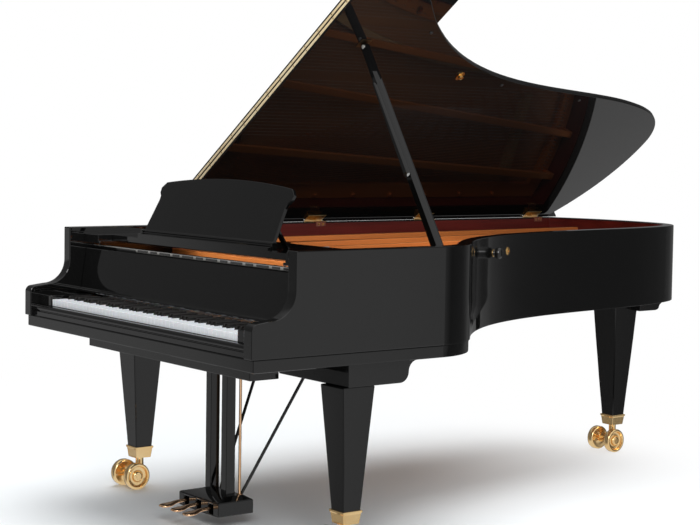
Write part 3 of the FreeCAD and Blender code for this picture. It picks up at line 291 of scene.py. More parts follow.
SLIP_HALF = 704.4
slip_profile = [(37, 670.3), (37, 710), (25, 710), (22, 709.4), (18.2, 707.4), (15.4, 704.2),
                (14.1, 700.4), (14.1, 696.6), (15.2, 693.2), (17.6, 690.8), (20, 690),
                (20, 687.2), (15.4, 687.2), (14.4, 686.2), (14.4, 671.3), (15.4, 670.3)]
Form().run(slip_profile, -SLIP_HALF, SLIP_HALF).make(
    "key_slip_moulding", black_lacquer, "case", "black_polish", ["key_slip"], crease=24.0)


# ---- Inner rim, lining and back posts ----------------------------------------------------------
# Inside the wall runs a second bent rim of beech that carries the soundboard, with heavy posts
# below it. Above it the wall is lined with red mahogany veneer, its ribbon figure along the rim.

def mahogany_veneer():
    material, start, place = new_finish("mahogany_veneer")
    ribbon = noise(start, drawn(start, place, (9.0, 2.2, 46.0)), 1.0, 3.0)
    pores = noise(start, drawn(start, place, (520.0, 16.0, 900.0)), 1.0, 2.0)
    cloud = noise(start, place, 3.2, 2.0)
    wood = mixed(start, between(start, ribbon, 0.32, 0.68),
                 (0.062, 0.0052, 0.0040), (0.135, 0.0130, 0.0085))
    wood = mixed(start, 0.55 * between(start, pores, 0.58, 0.72), wood, (0.030, 0.0035, 0.0024))
    wood = mixed(start, 0.5 * cloud, wood, (0.095, 0.0095, 0.0065))
    return coat(material, start, Base_Color=wood, Roughness=0.30 + 0.16 * pores,
                Specular_IOR_Level=0.3, Normal=bumped(start, pores, 0.12, 0.0002))


def pale_wood(name, light, dark, grain, turn=(0.0, 0.0, 0.0), rough=0.45):
    """A pale timber: growth rings drawn out along the grain, with short flecks between them."""
    material, start, place = new_finish(name)
    rings = noise(start, drawn(start, place, grain, turn), 1.0, 3.0)
    flecks = noise(start, drawn(start, place, [6 * size for size in grain], turn), 1.0, 1.0)
    tone = noise(start, place, 2.5, 2.0)
    wood = mixed(start, between(start, rings, 0.35, 0.65), light, dark)
    wood = mixed(start, 0.45 * between(start, flecks, 0.6, 0.75), wood,
                 [0.55 * part for part in dark])
    wood = mixed(start, 0.3 * tone, wood, light)
    return coat(material, start, Base_Color=wood, Roughness=rough + 0.12 * rings,
                Normal=bumped(start, rings + 0.5 * flecks, 0.1, 0.0003))


beech = pale_wood("beech", light=(0.46, 0.27, 0.13), dark=(0.36, 0.19, 0.085),
                  grain=(90.0, 5.0, 90.0))
dress("rim_lining", mahogany_veneer(), ease=0.0008)
dress("inner_rim", beech, ease=0.0010)
dress("back_posts", beech, ease=0.0030)


# ---- Soundboard and bridges ------------------------------------------------------------------
# The soundboard is a thin panel of quartered spruce under clear varnish, its grain slanting across
# the case. The two bridges are sawn from maple and glued down on it under the strings.

spruce = pale_wood("varnished_spruce", light=(0.48, 0.22, 0.10), dark=(0.35, 0.14, 0.055),
                   grain=(190.0, 3.0, 60.0), turn=(0.0, 0.0, math.radians(38)), rough=0.22)
maple = pale_wood("maple", light=(0.50, 0.32, 0.16), dark=(0.42, 0.245, 0.11),
                  grain=(26.0, 26.0, 70.0))
dress("soundboard", spruce)
dress("bridges", maple, ease=0.0012)


# ---- Plate and pin block -----------------------------------------------------------------------
# The plate is one grey-iron casting that bears the pull of the strings, filled, sprayed with bronze
# paint and clear coat, and bolted down all round. The pin block under its front is layered beech.

def bronze_paint():
    material, start, place = new_finish("bronze_paint")
    cast = noise(start, place, 120.0, 3.0)
    flakes = noise(start, place, 1900.0, 1.0)
    shade = noise(start, place, 3.0, 3.0)
    colour = mixed(start, shade, (0.62, 0.165, 0.032), (0.78, 0.255, 0.062))
    colour = mixed(start, 0.35 * between(start, flakes, 0.5, 0.75), colour, (0.95, 0.47, 0.17))
    return coat(material, start, Base_Color=colour, Metallic=0.35, Coat_Weight=0.2,
                Roughness=0.28 + 0.16 * flakes + 0.08 * cast,
                Normal=bumped(start, cast, 0.12, 0.0006))


bronze = bronze_paint()
dress("plate", bronze, ease=0.0024)
dress("pin_block", beech, ease=0.0008)

BENTSIDE_POLES = ((665.7, 929.9), (73.3, 1444.9), (268.1, 2133.5), (74.9, 2567.4))


def bentside(share, inset=0.0):
    """A point on the outside of the curved side, moved in by an inset, and the way out there."""
    poles = [Vector((*pole, 0.0)) for pole in BENTSIDE_POLES]
    rest = 1 - share
    spot = (rest ** 3 * poles[0] + 3 * rest ** 2 * share * poles[1]
            + 3 * rest * share ** 2 * poles[2] + share ** 3 * poles[3])
    along = (rest ** 2 * (poles[1] - poles[0]) + 2 * rest * share * (poles[2] - poles[1])
             + share ** 2 * (poles[3] - poles[2])).normalized()
    outward = Vector((along.y, -along.x, 0.0))
    return spot - inset * outward, outward


UP = (0, 0, 1)
PLATE_TOP, BOLT_INSET, BENTSIDE_BOLTS = 900.0, 66.0, 10
SPINE_BOLT_LINE, SPINE_BOLT_PLACES = -684, range(960, 2560, 200)
washer = [(13, 0), (13, 1.6), (12, 2.2), (10, 2.4)]
bolt_head = [(8.4, 2.4), (8.4, 7.4), (7.4, 8.4), (0.5, 8.6)]
bolts = Form()
spots = [Vector((SPINE_BOLT_LINE, place, 0)) for place in SPINE_BOLT_PLACES]
spots += [bentside(count / BENTSIDE_BOLTS, BOLT_INSET)[0] for count in range(BENTSIDE_BOLTS + 1)]
for spot in spots:
    spot.z = PLATE_TOP
    bolts.turned(washer, spot, UP, 24)
    bolts.turned(bolt_head, spot, UP, 6)
bolts.make("plate_bolts", bronze, "case", "plate_paint", crease=25.0)


# ---- Tuning pins, agraffes, strings and hitch pins ---------------------------------------------
# Each wire runs from coils on a blued steel pin through a brass agraffe, over the bridge and on to
# a hitch pin in the plate. Bass strings are steel wound with copper. Felt quiets the front ends.

def bare_metal(name, light, dark, rough, grain=(60.0, 60.0, 60.0), shine=1.0):
    """Bare metal: brushed a little along one way, with duller patches where it was handled."""
    material, start, place = new_finish(name)
    patch = noise(start, place, 9.0, 4.0)
    brush = noise(start, drawn(start, place, grain), 6.0, 2.0)
    colour = mixed(start, between(start, patch, 0.35, 0.7), light, dark)
    return coat(material, start, Base_Color=colour, Metallic=shine,
                Roughness=rough * (0.7 + 0.5 * patch + 0.4 * brush),
                Normal=bumped(start, brush, 0.05, 0.0002))


def felt(name, colour):
    """Pressed wool: a dull, fibrous face."""
    material, start, place = new_finish(name)
    wool = noise(start, place, 700.0, 4.0)
    matted = noise(start, place, 60.0, 2.0)
    shade = mixed(start, 0.5 * wool + 0.4 * matted, [0.6 * part for part in colour],
                  [min(1.3 * part, 1.0) for part in colour])
    return coat(material, start, Base_Color=shade, Roughness=0.95, Sheen_Weight=0.3,
                Normal=bumped(start, wool, 0.5, 0.0006))


steel = bare_metal("bright_steel", (0.62, 0.62, 0.61), (0.46, 0.45, 0.44), rough=0.24)
blued_steel = bare_metal("blued_steel", (0.20, 0.21, 0.24), (0.12, 0.125, 0.14), rough=0.28)
brass = bare_metal("polished_brass", (0.83, 0.57, 0.25), (0.70, 0.43, 0.16), rough=0.17)
red_felt = felt("red_felt", (0.22, 0.018, 0.014))
string_wire = bare_metal("string_wire", (0.70, 0.68, 0.66), (0.52, 0.50, 0.48), rough=0.34,
                         shine=0.55)
dress("tuning_pins", blued_steel, ease=0.0006)
dress("agraffes", brass, ease=0.0006)
dress("treble_strings", string_wire)
dress("hitch_pins", steel)


def wound_copper():
    material, start, place = new_finish("wound_copper")
    turns = start.node("TexWave", {"bands_direction": "Y"}, {"Vector": place, "Scale": 420.0})
    worn = noise(start, place, 14.0, 3.0)
    colour = mixed(start, worn, (0.70, 0.30, 0.15), (0.48, 0.18, 0.085))
    return coat(material, start, Base_Color=colour, Metallic=1.0, Roughness=0.26 + 0.2 * worn,
                Normal=bumped(start, turns, 0.4, 0.0003))


dress("bass_strings", wound_copper())

PIN_TOPS, PIN_REACH = 0.929, 0.006


def pin_spots(node, top):
    """Where the pins of a solid stand, found from the points at their tops."""
    found = []
    for vertex in nodes[node].data.vertices:
        if vertex.co.z > top:
            spot = Vector((vertex.co.x, vertex.co.y, 0.0))
            if not any((spot - other[0]).length < PIN_REACH for other in found):
                found.append((spot, []))
            next(other for other in found
                 if (spot - other[0]).length < PIN_REACH)[1].append(spot)
    centres = [sum(near, Vector()) / len(near) for _, near in found]
    return [Vector((MM_PER_M * centre.x, MM_PER_M * (centre.y - FRONT), 0.0))
            for centre in centres]


COIL_BASE, COIL_PITCH, COIL_TURNS, COIL_RADIUS, WIRE_RADIUS = 908.0, 1.5, 3, 4.3, 0.7
coils = Form()
for spot in pin_spots("tuning_pins", PIN_TOPS):
    for count in range(COIL_TURNS):
        height = COIL_BASE + count * COIL_PITCH
        wire = [(COIL_RADIUS + WIRE_RADIUS * math.cos(turn),
                 height + WIRE_RADIUS * math.sin(turn)) for turn in around(6)]
        coils.turned(wire, spot, UP, 14, closed=True)
coils.make("string_coils", steel, "case", "steel_wire", crease=80.0)

STRING_FELT_ENDS = (-652, 622)
string_felt = [(702, 900.2), (702, 904), (705, 906), (764, 906), (767, 904), (767, 900.2)]
Form().run(string_felt, *STRING_FELT_ENDS).make("string_felt", red_felt, "case", "damper_wood")


# ---- Dampers and damper tray -------------------------------------------------------------------
# A black wooden head over white felt sits on each string, on a wire that comes up from a beech
# tray. The right pedal lifts the tray and all of the heads with it.

HEAD_FOOT, FELT_TOP = 0.9104, 0.9164


def damper_finish():
    """Steel wire below, then white felt, then the black head, told apart by height."""
    material, start, place = new_finish("damper")
    height = start.node("SeparateXYZ", None, {0: place}, out=2)
    wool = noise(start, place, 600.0, 3.0)
    haze = noise(start, place, 20.0, 3.0)
    cream = mixed(start, wool, (0.66, 0.62, 0.54), (0.82, 0.79, 0.72))
    black = mixed(start, haze, (0.0035, 0.0035, 0.0035), (0.006, 0.006, 0.006))
    in_head, over_felt = height > HEAD_FOOT, height > FELT_TOP
    wire = mixed(start, haze, (0.60, 0.60, 0.59), (0.46, 0.46, 0.45))
    colour = mixed(start, over_felt, mixed(start, in_head, wire, cream), black)
    return coat(material, start, Base_Color=colour, Metallic=1 - in_head,
                Roughness=0.25 + 0.65 * in_head - 0.82 * over_felt + 0.05 * haze,
                Normal=bumped(start, wool, 0.2, 0.0004))


dress("dampers", damper_finish(), ease=0.0006)
dress("damper_tray", beech, ease=0.0010)


# ---- Keyboard ----------------------------------------------------------------------------------
# Spruce keys rock on a beech frame. The naturals are topped with cool white resin; the sharps are
# ebony, rubbed to a satin sheen and rounded on top.

def white_resin():
    material, start, place = new_finish("white_resin")
    vein = noise(start, drawn(start, place, (260.0, 18.0, 260.0)), 1.0, 3.0)
    wear = noise(start, place, 24.0, 3.0)
    colour = mixed(start, 0.5 * vein + 0.3 * wear, (0.88, 0.90, 0.94), (0.78, 0.80, 0.83))
    return coat(material, start, Base_Color=colour, Roughness=0.13 + 0.14 * wear,
                Subsurface_Weight=0.06, Normal=bumped(start, vein, 0.03, 0.0002))


def ebony_wood():
    material, start, place = new_finish("ebony")
    grain = noise(start, drawn(start, place, (420.0, 14.0, 420.0)), 1.0, 3.0)
    colour = mixed(start, between(start, grain, 0.4, 0.75),
                   (0.0042, 0.0039, 0.0038), (0.012, 0.0096, 0.0082))
    return coat(material, start, Base_Color=colour, Roughness=0.22 + 0.16 * grain,
                Normal=bumped(start, grain, 0.12, 0.0003))


resin, ebony = white_resin(), ebony_wood()
dress("key_frame", beech, ease=0.0010)
dress("white_keys", resin, ease=0.0007)
dress("middle_white_key", resin, ease=0.0007)
dress("black_keys", ebony, ease=0.0013)
dress("middle_black_key", ebony, ease=0.0013)


# ---- Fallboard and its rest rail ---------------------------------------------------------------
# The fallboard is a black board that turns down over the keys on pins at its two ends. Behind it a
# narrow rail, screwed between the arms, carries a nickel strip and a row of short felt pads.

dress("fallboard", black_lacquer, ease=0.0022)

RAIL_HALF = 703.8
rail = [(257, 897), (257, 925), (258, 926), (271, 926), (272, 925), (272, 897)]
Form().run(rail, -RAIL_HALF, RAIL_HALF).make("rest_rail", black_lacquer, "case", "black_polish",
                                             ease=0.0006)
nickel = bare_metal("nickel", (0.70, 0.69, 0.66), (0.56, 0.55, 0.52), rough=0.3, shine=0.6)
STRIP_STEP, STRIP_FOOT, THIN_STRIP_FOOT = -386.0, 914.2, 921.6
rest_strip = Form()
for foot, low, high in ((STRIP_FOOT, STRIP_STEP, RAIL_HALF),
                        (THIN_STRIP_FOOT, -RAIL_HALF, STRIP_STEP)):
    profile = [(256.2, foot), (256, foot + 0.4), (256, 924.4), (256.2, 924.8), (257, 924.8),
               (257, foot)]
    rest_strip.run(profile, low, high)
rest_strip.make("rest_strip", nickel, "case", "steel_wire")

LONG_PAD, SHORT_PAD, PAD_GAP, PAD_FOOT, PAD_TOP = 69.0, 43.0, 20.0, 916, 923.5
FIRST_PAIR, PAD_PAIRS = 2, 9
pad_cuts = ((0, 256), (0, 254.8), (0.9, 253.8))
pair_pitch = LONG_PAD + SHORT_PAD + 2 * PAD_GAP
pads = Form()
for count in range(FIRST_PAIR, PAD_PAIRS):
    first = (count - PAD_PAIRS / 2) * pair_pitch + PAD_GAP / 2
    for low, high in ((first, first + LONG_PAD),
                      (first + LONG_PAD + PAD_GAP, first + pair_pitch - PAD_GAP)):
        pads.rings([[(low + cut, y, PAD_FOOT + cut), (high - cut, y, PAD_FOOT + cut),
                     (high - cut, y, PAD_TOP - cut), (low + cut, y, PAD_TOP - cut)]
                    for cut, y in pad_cuts])
black_felt = felt("black_felt", (0.010, 0.0095, 0.0095))
pads.make("rest_pads", black_felt, "case", "damper_wood")


# ---- Music shelf and desk ----------------------------------------------------------------------
# A shelf slides on two wings over the tuning pins and carries the desk, a broad shaped board that
# leans back on two struts and folds flat. All of it is lacquered like the case.

for node, ease in (("shelf_wings", 0.0018), ("music_shelf", 0.0018), ("music_desk", 0.0016),
                   ("desk_props", 0.0010)):
    dress(node, black_lacquer, ease)


# ---- Lid, front flap and their hinges ----------------------------------------------------------
# The lid is a flat lacquered panel, hinged along the straight side on brass leaves with tabs down
# the lining. Its front flap folds back on a long hinge, and rubber buttons keep it off the rim.

# The lid's lacquer is a copy of the case's with a weaker mirror and a paler base; the paler base is
# painted sheen that greys the lid's dark reflection.
lid_lacquer = polished_black("lid_lacquer", shade=0.0075, rough=0.03, wave=0.010, gloss=0.165)
dress("main_lid", lid_lacquer, ease=0.0028)
dress("front_flap", lid_lacquer, ease=0.0022)

LID_ANGLE, LID_AXIS, LID_BASE = 34.0, (-755.0, 0.0, 992.5), 995.0


def raised(form):
    """Turns what was drawn on the closed lid up to where the lid stands."""
    return form.swung(LID_AXIS, (0, -1, 0), LID_ANGLE)


worn_brass = bare_metal("worn_brass", (0.86, 0.66, 0.37), (0.74, 0.50, 0.22), rough=0.26,
                        grain=(4.0, 90.0, 90.0))
for node in ("lid_hinge_rim_leaves", "lid_hinge_lid_leaves"):
    dress(node, worn_brass, ease=0.0004)

LID_LEFT, LID_RIGHT, FOLD_FACE, FOLD_EDGE, LEAF_EASE = -750.0, 762.0, 601.5, 603.0, 0.4
satin_brass = bare_metal("satin_brass", (0.98, 0.82, 0.53), (0.90, 0.69, 0.40), rough=0.34,
                         grain=(3.0, 90.0, 90.0), shine=0.2)
FOLD_LEAVES = (("lid", "fold_hinge_lid_leaf", 1002.6, 1012.2),
               ("front_flap", "fold_hinge_flap_leaf", 1018.8, 1027.8))
for body, node, low, high in FOLD_LEAVES:
    leaf = [(FOLD_EDGE, low), (FOLD_FACE + LEAF_EASE, low), (FOLD_FACE, low + LEAF_EASE),
            (FOLD_FACE, high - LEAF_EASE), (FOLD_FACE + LEAF_EASE, high), (FOLD_EDGE, high)]
    raised(Form().run(leaf, LID_LEFT, LID_RIGHT)).make(body + "_fold_leaf", satin_brass, body,
                                                       "brass", [node])

KNUCKLES, KNUCKLE_PITCH, KNUCKLE_LINE = 36, 42, (601.2, 1015.5)
knuckle = [(0.9, 0), (1.2, 0.4), (1.2, 40.6), (0.9, 41)]
# Dark bronze serves as a dark finish and as painted shade: on the fold knuckles it paints the dark
# crease between the two brass leaves.
dark_bronze_and_crease_shade = bare_metal("dark_bronze_and_crease_shade", (0.10, 0.075, 0.045), (0.06, 0.045, 0.03), rough=0.4)
knuckles = Form()
for count in range(KNUCKLES):
    knuckles.turned(knuckle, (LID_LEFT + KNUCKLE_PITCH * count, *KNUCKLE_LINE), (1, 0, 0), 12)
raised(knuckles).make("fold_knuckles", dark_bronze_and_crease_shade, "lid", "brass")

TO_PLAYER = (0, -1, 0)
HINGE_PLACES = (1304.9, 1892.0, 2539.9)
RIM_LEAF_TOP, LID_LEAF_FOOT, LEAF_SCREW = 992.0, 993.0, 4.2
LEAF_SCREW_SPOTS = ((-33, -724), (0, -738), (33, -724))
LID_LEAF_MIDDLE, FLAP_LEAF_MIDDLE, FOLD_SCREW, FOLD_SCREW_RISE = 1007.4, 1023.3, 3.0, 0.22
FOLD_SCREW_SPOTS = range(-728, 729, 91)
rim_screws, lid_screws, flap_screws = Form(), Form(), Form()
for place in HINGE_PLACES:
    for shift, across in LEAF_SCREW_SPOTS:
        rim_screws.screw((across, place + shift, RIM_LEAF_TOP), (0.2, 0.1 * shift, 90), LEAF_SCREW)
        lid_screws.screw((across, place + shift, LID_LEAF_FOOT), (0.2, 0.1 * shift, -90),
                         LEAF_SCREW)
for across in FOLD_SCREW_SPOTS:
    for screws, middle in ((lid_screws, LID_LEAF_MIDDLE), (flap_screws, FLAP_LEAF_MIDDLE)):
        screws.screw((across, FOLD_FACE, middle), TO_PLAYER, FOLD_SCREW, FOLD_SCREW_RISE)
rim_screws.make("rim_hinge_screws", brass, "case", "brass", crease=25.0)
raised(lid_screws).make("lid_hinge_screws", brass, "lid", "brass", crease=25.0)
raised(flap_screws).make("flap_hinge_screws", brass, "front_flap", "brass", crease=25.0)

LEAF_END, LINING_FACE, TAB_HALF, TAB_FOOT, TAB_THICK = -713.9, -700.0, 24.0, 973.0, 2.2
TAB_SEAT, TAB_EASE, TAB_PLAY = 990.1, 0.8, 0.1
TAB_SCREW, TAB_SCREW_RISE, TAB_SCREW_SHIFTS, TAB_SCREW_LIFT = 5.2, 1.2, (-11, 11), 9
tab_face, tab_back = LINING_FACE + TAB_THICK, LINING_FACE + TAB_PLAY
tab = [(LEAF_END, TAB_SEAT), (LEAF_END, RIM_LEAF_TOP), (tab_face - TAB_EASE, RIM_LEAF_TOP),
       (tab_face, RIM_LEAF_TOP - TAB_EASE), (tab_face, TAB_FOOT), (tab_back, TAB_FOOT),
       (tab_back, TAB_SEAT)]
red_bronze = bare_metal("red_bronze", (0.34, 0.13, 0.085), (0.24, 0.085, 0.055), rough=0.3,
                        shine=0.6)
tabs, tab_screws = Form(), Form()
for place in HINGE_PLACES:
    tabs.rings([[(x, y, z) for x, z in tab] for y in (place - TAB_HALF, place + TAB_HALF)])
    for shift in TAB_SCREW_SHIFTS:
        tab_screws.screw((tab_face, place + shift, TAB_FOOT + TAB_SCREW_LIFT), (1, 0, 0),
                         TAB_SCREW, TAB_SCREW_RISE)
tabs.make("hinge_tabs", red_bronze, "case", "brass", crease=25.0)
tab_screws.make("hinge_tab_screws", brass, "case", "brass", crease=25.0)


def black_rubber():
    material, start, place = new_finish("black_rubber")
    bloom = noise(start, place, 90.0, 3.0)
    colour = mixed(start, bloom, (0.008, 0.008, 0.008), (0.022, 0.021, 0.020))
    return coat(material, start, Base_Color=colour, Roughness=0.55 + 0.25 * bloom,
                Normal=bumped(start, bloom, 0.1, 0.0004))


CORNER_BUTTON, BUTTON_SHARES, BUTTON_INSET = (728, 690, 0), (0.08, 0.40, 0.68), 22.0
button = [(7, 0), (7, -1.4), (6, -2.8), (4.2, -3.6), (0.4, -3.8)]
buttons = Form()
spots = [bentside(share, BUTTON_INSET)[0] for share in BUTTON_SHARES]
for spot in [Vector(CORNER_BUTTON)] + spots:
    spot.z = LID_BASE
    buttons.turned(button, spot, UP, 24)
raised(buttons).make("lid_buttons", black_rubber(), "lid", "damper_wood")


# ---- Hinge bead of the lid ---------------------------------------------------------------------
# A narrow black bead under the hinge edge of the lid, glued on between the hinges, shuts out dust
# where the lid meets the straight side.

BEAD_ENDS, BEAD_GAP = (606.0, 2704.0), 48.0
bead = [(-753.8, 995.0), (-753.8, 989.4), (-753.0, 988.4), (-751.4, 988.4), (-750.6, 989.4),
        (-750.6, 995.0), (-750.2, 995.4), (-750.2, 1012.0), (-753.8, 1012.0)]
beads = Form()
starts = [BEAD_ENDS[0]] + [place + BEAD_GAP for place in HINGE_PLACES]
ends = [place - BEAD_GAP for place in HINGE_PLACES] + [BEAD_ENDS[1]]
for low, high in zip(starts, ends):
    beads.rings([[(x, y, z) for x, z in bead] for y in (low, high)])
raised(beads).make("hinge_bead", black_lacquer, "lid", "black_polish")


# ---- Lid catch ---------------------------------------------------------------------------------
# A brass keeper screwed under the lid takes the bolt of the lock when the lid is shut: a small
# plate, waisted round two screws, and a turned cup.

DOWN = (0, 0, -1)
CATCH = Vector((281.0, 1353.0, LID_BASE))
CATCH_LONG, CATCH_SHORT, CATCH_WAIST, CATCH_THICK = 24, 15, 0.8, 2.0
CATCH_SCREW, CATCH_SCREW_RISE, CATCH_SCREW_SHIFTS = 3.2, 0.6, (-17.5, 17.5)
cup = [(11, -2.0), (11, -10), (10, -11.5), (7, -11.5), (6.4, -10.5), (6.4, -4)]
outline = []
for turn in around(24):
    waist = 1.0 if abs(math.cos(turn)) > 0.5 else CATCH_WAIST
    outline.append((CATCH.x + CATCH_LONG * math.cos(turn) * waist,
                    CATCH.y + CATCH_SHORT * math.sin(turn)))
catch = Form().slab(outline, CATCH.z - CATCH_THICK, CATCH.z).turned(cup, CATCH, UP, 28)
for shift in CATCH_SCREW_SHIFTS:
    catch.screw(CATCH + Vector((shift, 0, -CATCH_THICK)), DOWN, CATCH_SCREW, CATCH_SCREW_RISE)
raised(catch).make("lid_catch", brass, "lid", "brass", crease=30.0)


# ---- Lid prop, short prop and bracket ----------------------------------------------------------
# A tapered black stick holds the lid open in a bronze plate; it turns on a pin in a small bracket
# on the rim. A thinner stick for a lower opening turns on a bronze screw in its face.

dress("prop_bracket", black_lacquer, ease=0.0012)
dress("prop_plate", dark_bronze_and_crease_shade, ease=0.0006)

PROP_FOOT, PROP_LEAN = Vector((658.018, 796.0, 964.0)), -31.2
SHORT_PIN, TIP = 296.0, 801.0


def stick(base, foot, tip, length, front, back, planed):
    """A flat tapered stick with round ends, upright on its pivot, its near right edge planed."""
    stations = [(-foot * math.cos(turn), foot * math.sin(turn))
                for turn in (math.pi * step / 16 for step in range(1, 9))]
    stations += [(length - tip + tip * math.sin(turn), tip * math.cos(turn))
                 for turn in (math.pi * step / 16 for step in range(0, 8))]
    rings = []
    for height, half in stations:
        cut, ease = min(planed, 0.8 * half), min(2.0, 0.2 * half)
        section = ((-half + ease, back), (half - ease, back), (half, back - ease),
                   (half, front + cut), (half - cut, front), (-half + ease, front),
                   (-half, front + ease), (-half, back - ease))
        rings.append([(base.x + x, y, base.z + height) for x, y in section])
    return Form().rings(rings)


def leaned(form):
    """Turns what was drawn on the upright prop over to where it leans."""
    return form.swung(PROP_FOOT, (0, 1, 0), PROP_LEAN)


long_stick = stick(PROP_FOOT, foot=21, tip=13, length=814.0, front=785.0, back=807.0, planed=13.0)
leaned(long_stick).make("planed_prop", black_lacquer, "lid_prop", "black_polish", ["lid_prop"],
                        ease=0.0006, crease=25.0)
short_stick = stick(PROP_FOOT + Vector((0, 0, SHORT_PIN)), foot=12, tip=6, length=360.0,
                    front=772.7, back=784.7, planed=8.0)
leaned(short_stick).make("planed_short_prop", black_lacquer, "short_prop", "black_polish",
                         ["short_prop"], ease=0.0006, crease=25.0)

BRACKET_FACE, SHORT_FACE = -16.3, -23.3
SHORT_SCREW, SHORT_SCREW_RISE = 6.5, 0.6
dome = [(8.5, 0), (8.5, 0.8), (7.4, 2.0), (5.0, 2.9), (0.4, 3.2)]
dowel = [(6.5, -11.6), (7.2, -11.2), (7.2, 11.2), (6.5, 11.6)]
pin_head = Form().turned(dome, PROP_FOOT + Vector((0, BRACKET_FACE, 0)), TO_PLAYER)
pin_head.make("bracket_pin_head", brass, "case", "brass")
prop_screw = Form().screw(PROP_FOOT + Vector((0, SHORT_FACE, SHORT_PIN)), TO_PLAYER, SHORT_SCREW,
                          SHORT_SCREW_RISE)
leaned(prop_screw).make("short_prop_screw", dark_bronze_and_crease_shade, "short_prop", "brass", crease=25.0)
tip_dowel = Form().turned(dowel, PROP_FOOT + Vector((0, 0, TIP)), (0, 1, 0))
leaned(tip_dowel).make("prop_tip_dowel", nickel, "lid_prop", "brass")

PLATE_SPOT, PLATE_SCREW, PLATE_SCREW_RISE = Vector((439.6, 796.0, 993.0)), 3.0, 0.25
PLATE_SCREW_SHIFTS = (-17, 17)
plate_screws = Form()
for shift_x in PLATE_SCREW_SHIFTS:
    for shift_y in PLATE_SCREW_SHIFTS:
        plate_screws.screw(PLATE_SPOT + Vector((shift_x, shift_y, 0)), DOWN, PLATE_SCREW,
                           PLATE_SCREW_RISE)
raised(plate_screws).make("prop_plate_screws", dark_bronze_and_crease_shade, "lid", "brass", crease=25.0)


# ---- Lock --------------------------------------------------------------------------------------
# A turned black knob on the curved side works the bolt; beside it a small brass rosette covers the
# keyhole. Both are set level with each other just below the rim.

KNOB_SHARE, ROSETTE_SHARE, LOCK_HEIGHT = 0.22, 0.29, 930.0
knob = [(11, 0.4), (11, 3.2), (9, 5.2), (9, 6.8), (13.4, 8.2), (18, 11), (20.4, 15), (21, 20),
        (20.4, 25), (18.2, 29.6), (14.4, 33), (9, 34.7), (0.5, 35)]
collar = [(10.98, 0.5), (13.4, 0.5), (13.4, 1.8), (12.4, 2.8), (10.98, 3.0)]
spot, outward = bentside(KNOB_SHARE)
spot.z = LOCK_HEIGHT
Form().turned(knob, spot, outward, 44).make(
    "lock_knob_turned", black_lacquer, "lock_knob", "black_polish", ["lock_knob"], crease=50.0)
Form().turned(collar, spot, outward, 44, closed=True).make("lock_collar", brass, "lock_knob",
                                                           "brass")
rosette = [(14.9, 0.4), (14.9, 1.4), (14.2, 2.2), (12.4, 2.6), (11.6, 2.2), (10.8, 2.2),
           (9.6, 3.4), (6.6, 4.0), (4.6, 4.1), (4.4, 3.4), (4.4, 1.6)]
spot, outward = bentside(ROSETTE_SHARE)
spot.z = LOCK_HEIGHT
Form().turned(rosette, spot, outward, 36).make(
    "lock_rosette_turned", brass, "case", "brass", ["lock_rosette"], crease=30.0)


# ---- Legs, leg blocks and ferrules -------------------------------------------------------------
# Three square tapered legs stand under shaped blocks, lacquered black. Each ends in a cast brass
# ferrule with a flat rim, filed and polished, that takes the caster's stem.

for node, ease in (("leg_blocks", 0.0028), ("front_legs", 0.0036), ("rear_leg", 0.0036)):
    dress(node, black_lacquer, ease)
cast_brass = bare_metal("cast_brass", (0.97, 0.71, 0.37), (0.89, 0.59, 0.26), rough=0.15,
                        shine=0.94)
LEG_SPOTS = {"front_left": (-652, 431), "front_right": (652, 431), "rear": (-193, 2528)}
CORNERS = ((-1, -1), (1, -1), (1, 1), (-1, 1))
sleeve = ((30.2, 112.2), (31.0, 113.4), (35.0, 144.6), (35.6, 147.2), (37.4, 148.4),
          (38.2, 149.6), (38.2, 155.2), (37.4, 156.4))
ferrules = Form()
for x, y in LEG_SPOTS.values():
    ferrules.rings([[(x + half * side_x, y + half * side_y, height) for side_x, side_y in CORNERS]
                    for half, height in sleeve])
ferrules.make("cast_ferrules", cast_brass, "case", "brass", ["leg_ferrules"], ease=0.0012,
              crease=20.0)


# ---- Tail block ---------------------------------------------------------------------------------
# Behind the rear leg a thick lacquered board with an ogee end is screwed up under the rim and
# stiffens the leg's socket against the pull of the caster.

TAIL_BLOCK_SIDES = (-258, -78)
ogee = [(2560, 671), (2560, 614), (2658, 614), (2670, 616.4), (2678, 622), (2681.6, 630),
        (2683.6, 636), (2688, 639.4), (2693, 641.4), (2696, 646), (2697, 652), (2697, 671)]
Form().run(ogee, *TAIL_BLOCK_SIDES).make("tail_block", black_lacquer, "case", "black_polish",
                                         ease=0.0016, crease=30.0)


# ---- Casters -----------------------------------------------------------------------------------
# Each leg rolls on a pair of solid brass wheels, dished outside round a raised hub, on one axle.
# The fork swivels on its stem and carries a brake lever that points forward between the wheels.

WHEEL_RADIUS, INNER_FACE, TRAIL = 50.0, 32.0, 40.0
wheel = [(9.3, 0.3), (15, 0.3), (17, 1.6), (33, 2.6), (42, 1.2), (45.5, 1.4), (48.4, 3.4), (50, 7),
         (50, 26), (48.8, 29.4), (46.4, 31.2), (43, 31.6), (40.2, 30.4), (38.2, 26.6),
         (35.8, 21.4), (31, 19.2), (24.6, 18.8), (21.8, 20.2), (20.4, 24.6), (18.6, 28.6),
         (15.6, 30.8), (11.6, 31.4), (9.3, 31.4)]
for leg, (x, y) in LEG_SPOTS.items():
    dress("caster_fork_" + leg, cast_brass, ease=0.0030, clamped=True)
    pair = Form()
    for side in (-1, 1):
        inside = (x + side * INNER_FACE, y - TRAIL, WHEEL_RADIUS)
        pair.turned(wheel, inside, (side, 0, 0), 56, closed=True)
    wheels = "caster_wheels_" + leg
    pair.make("turned_wheels_" + leg, cast_brass, wheels, "brass", [wheels], crease=34.0)


# ---- Pedal lyre --------------------------------------------------------------------------------
# Two square posts hang from a beam under the key bed and carry the pedal box with its hipped cap,
# steadied from behind by two thin stays. All are lacquered but the stays, which are painted black.

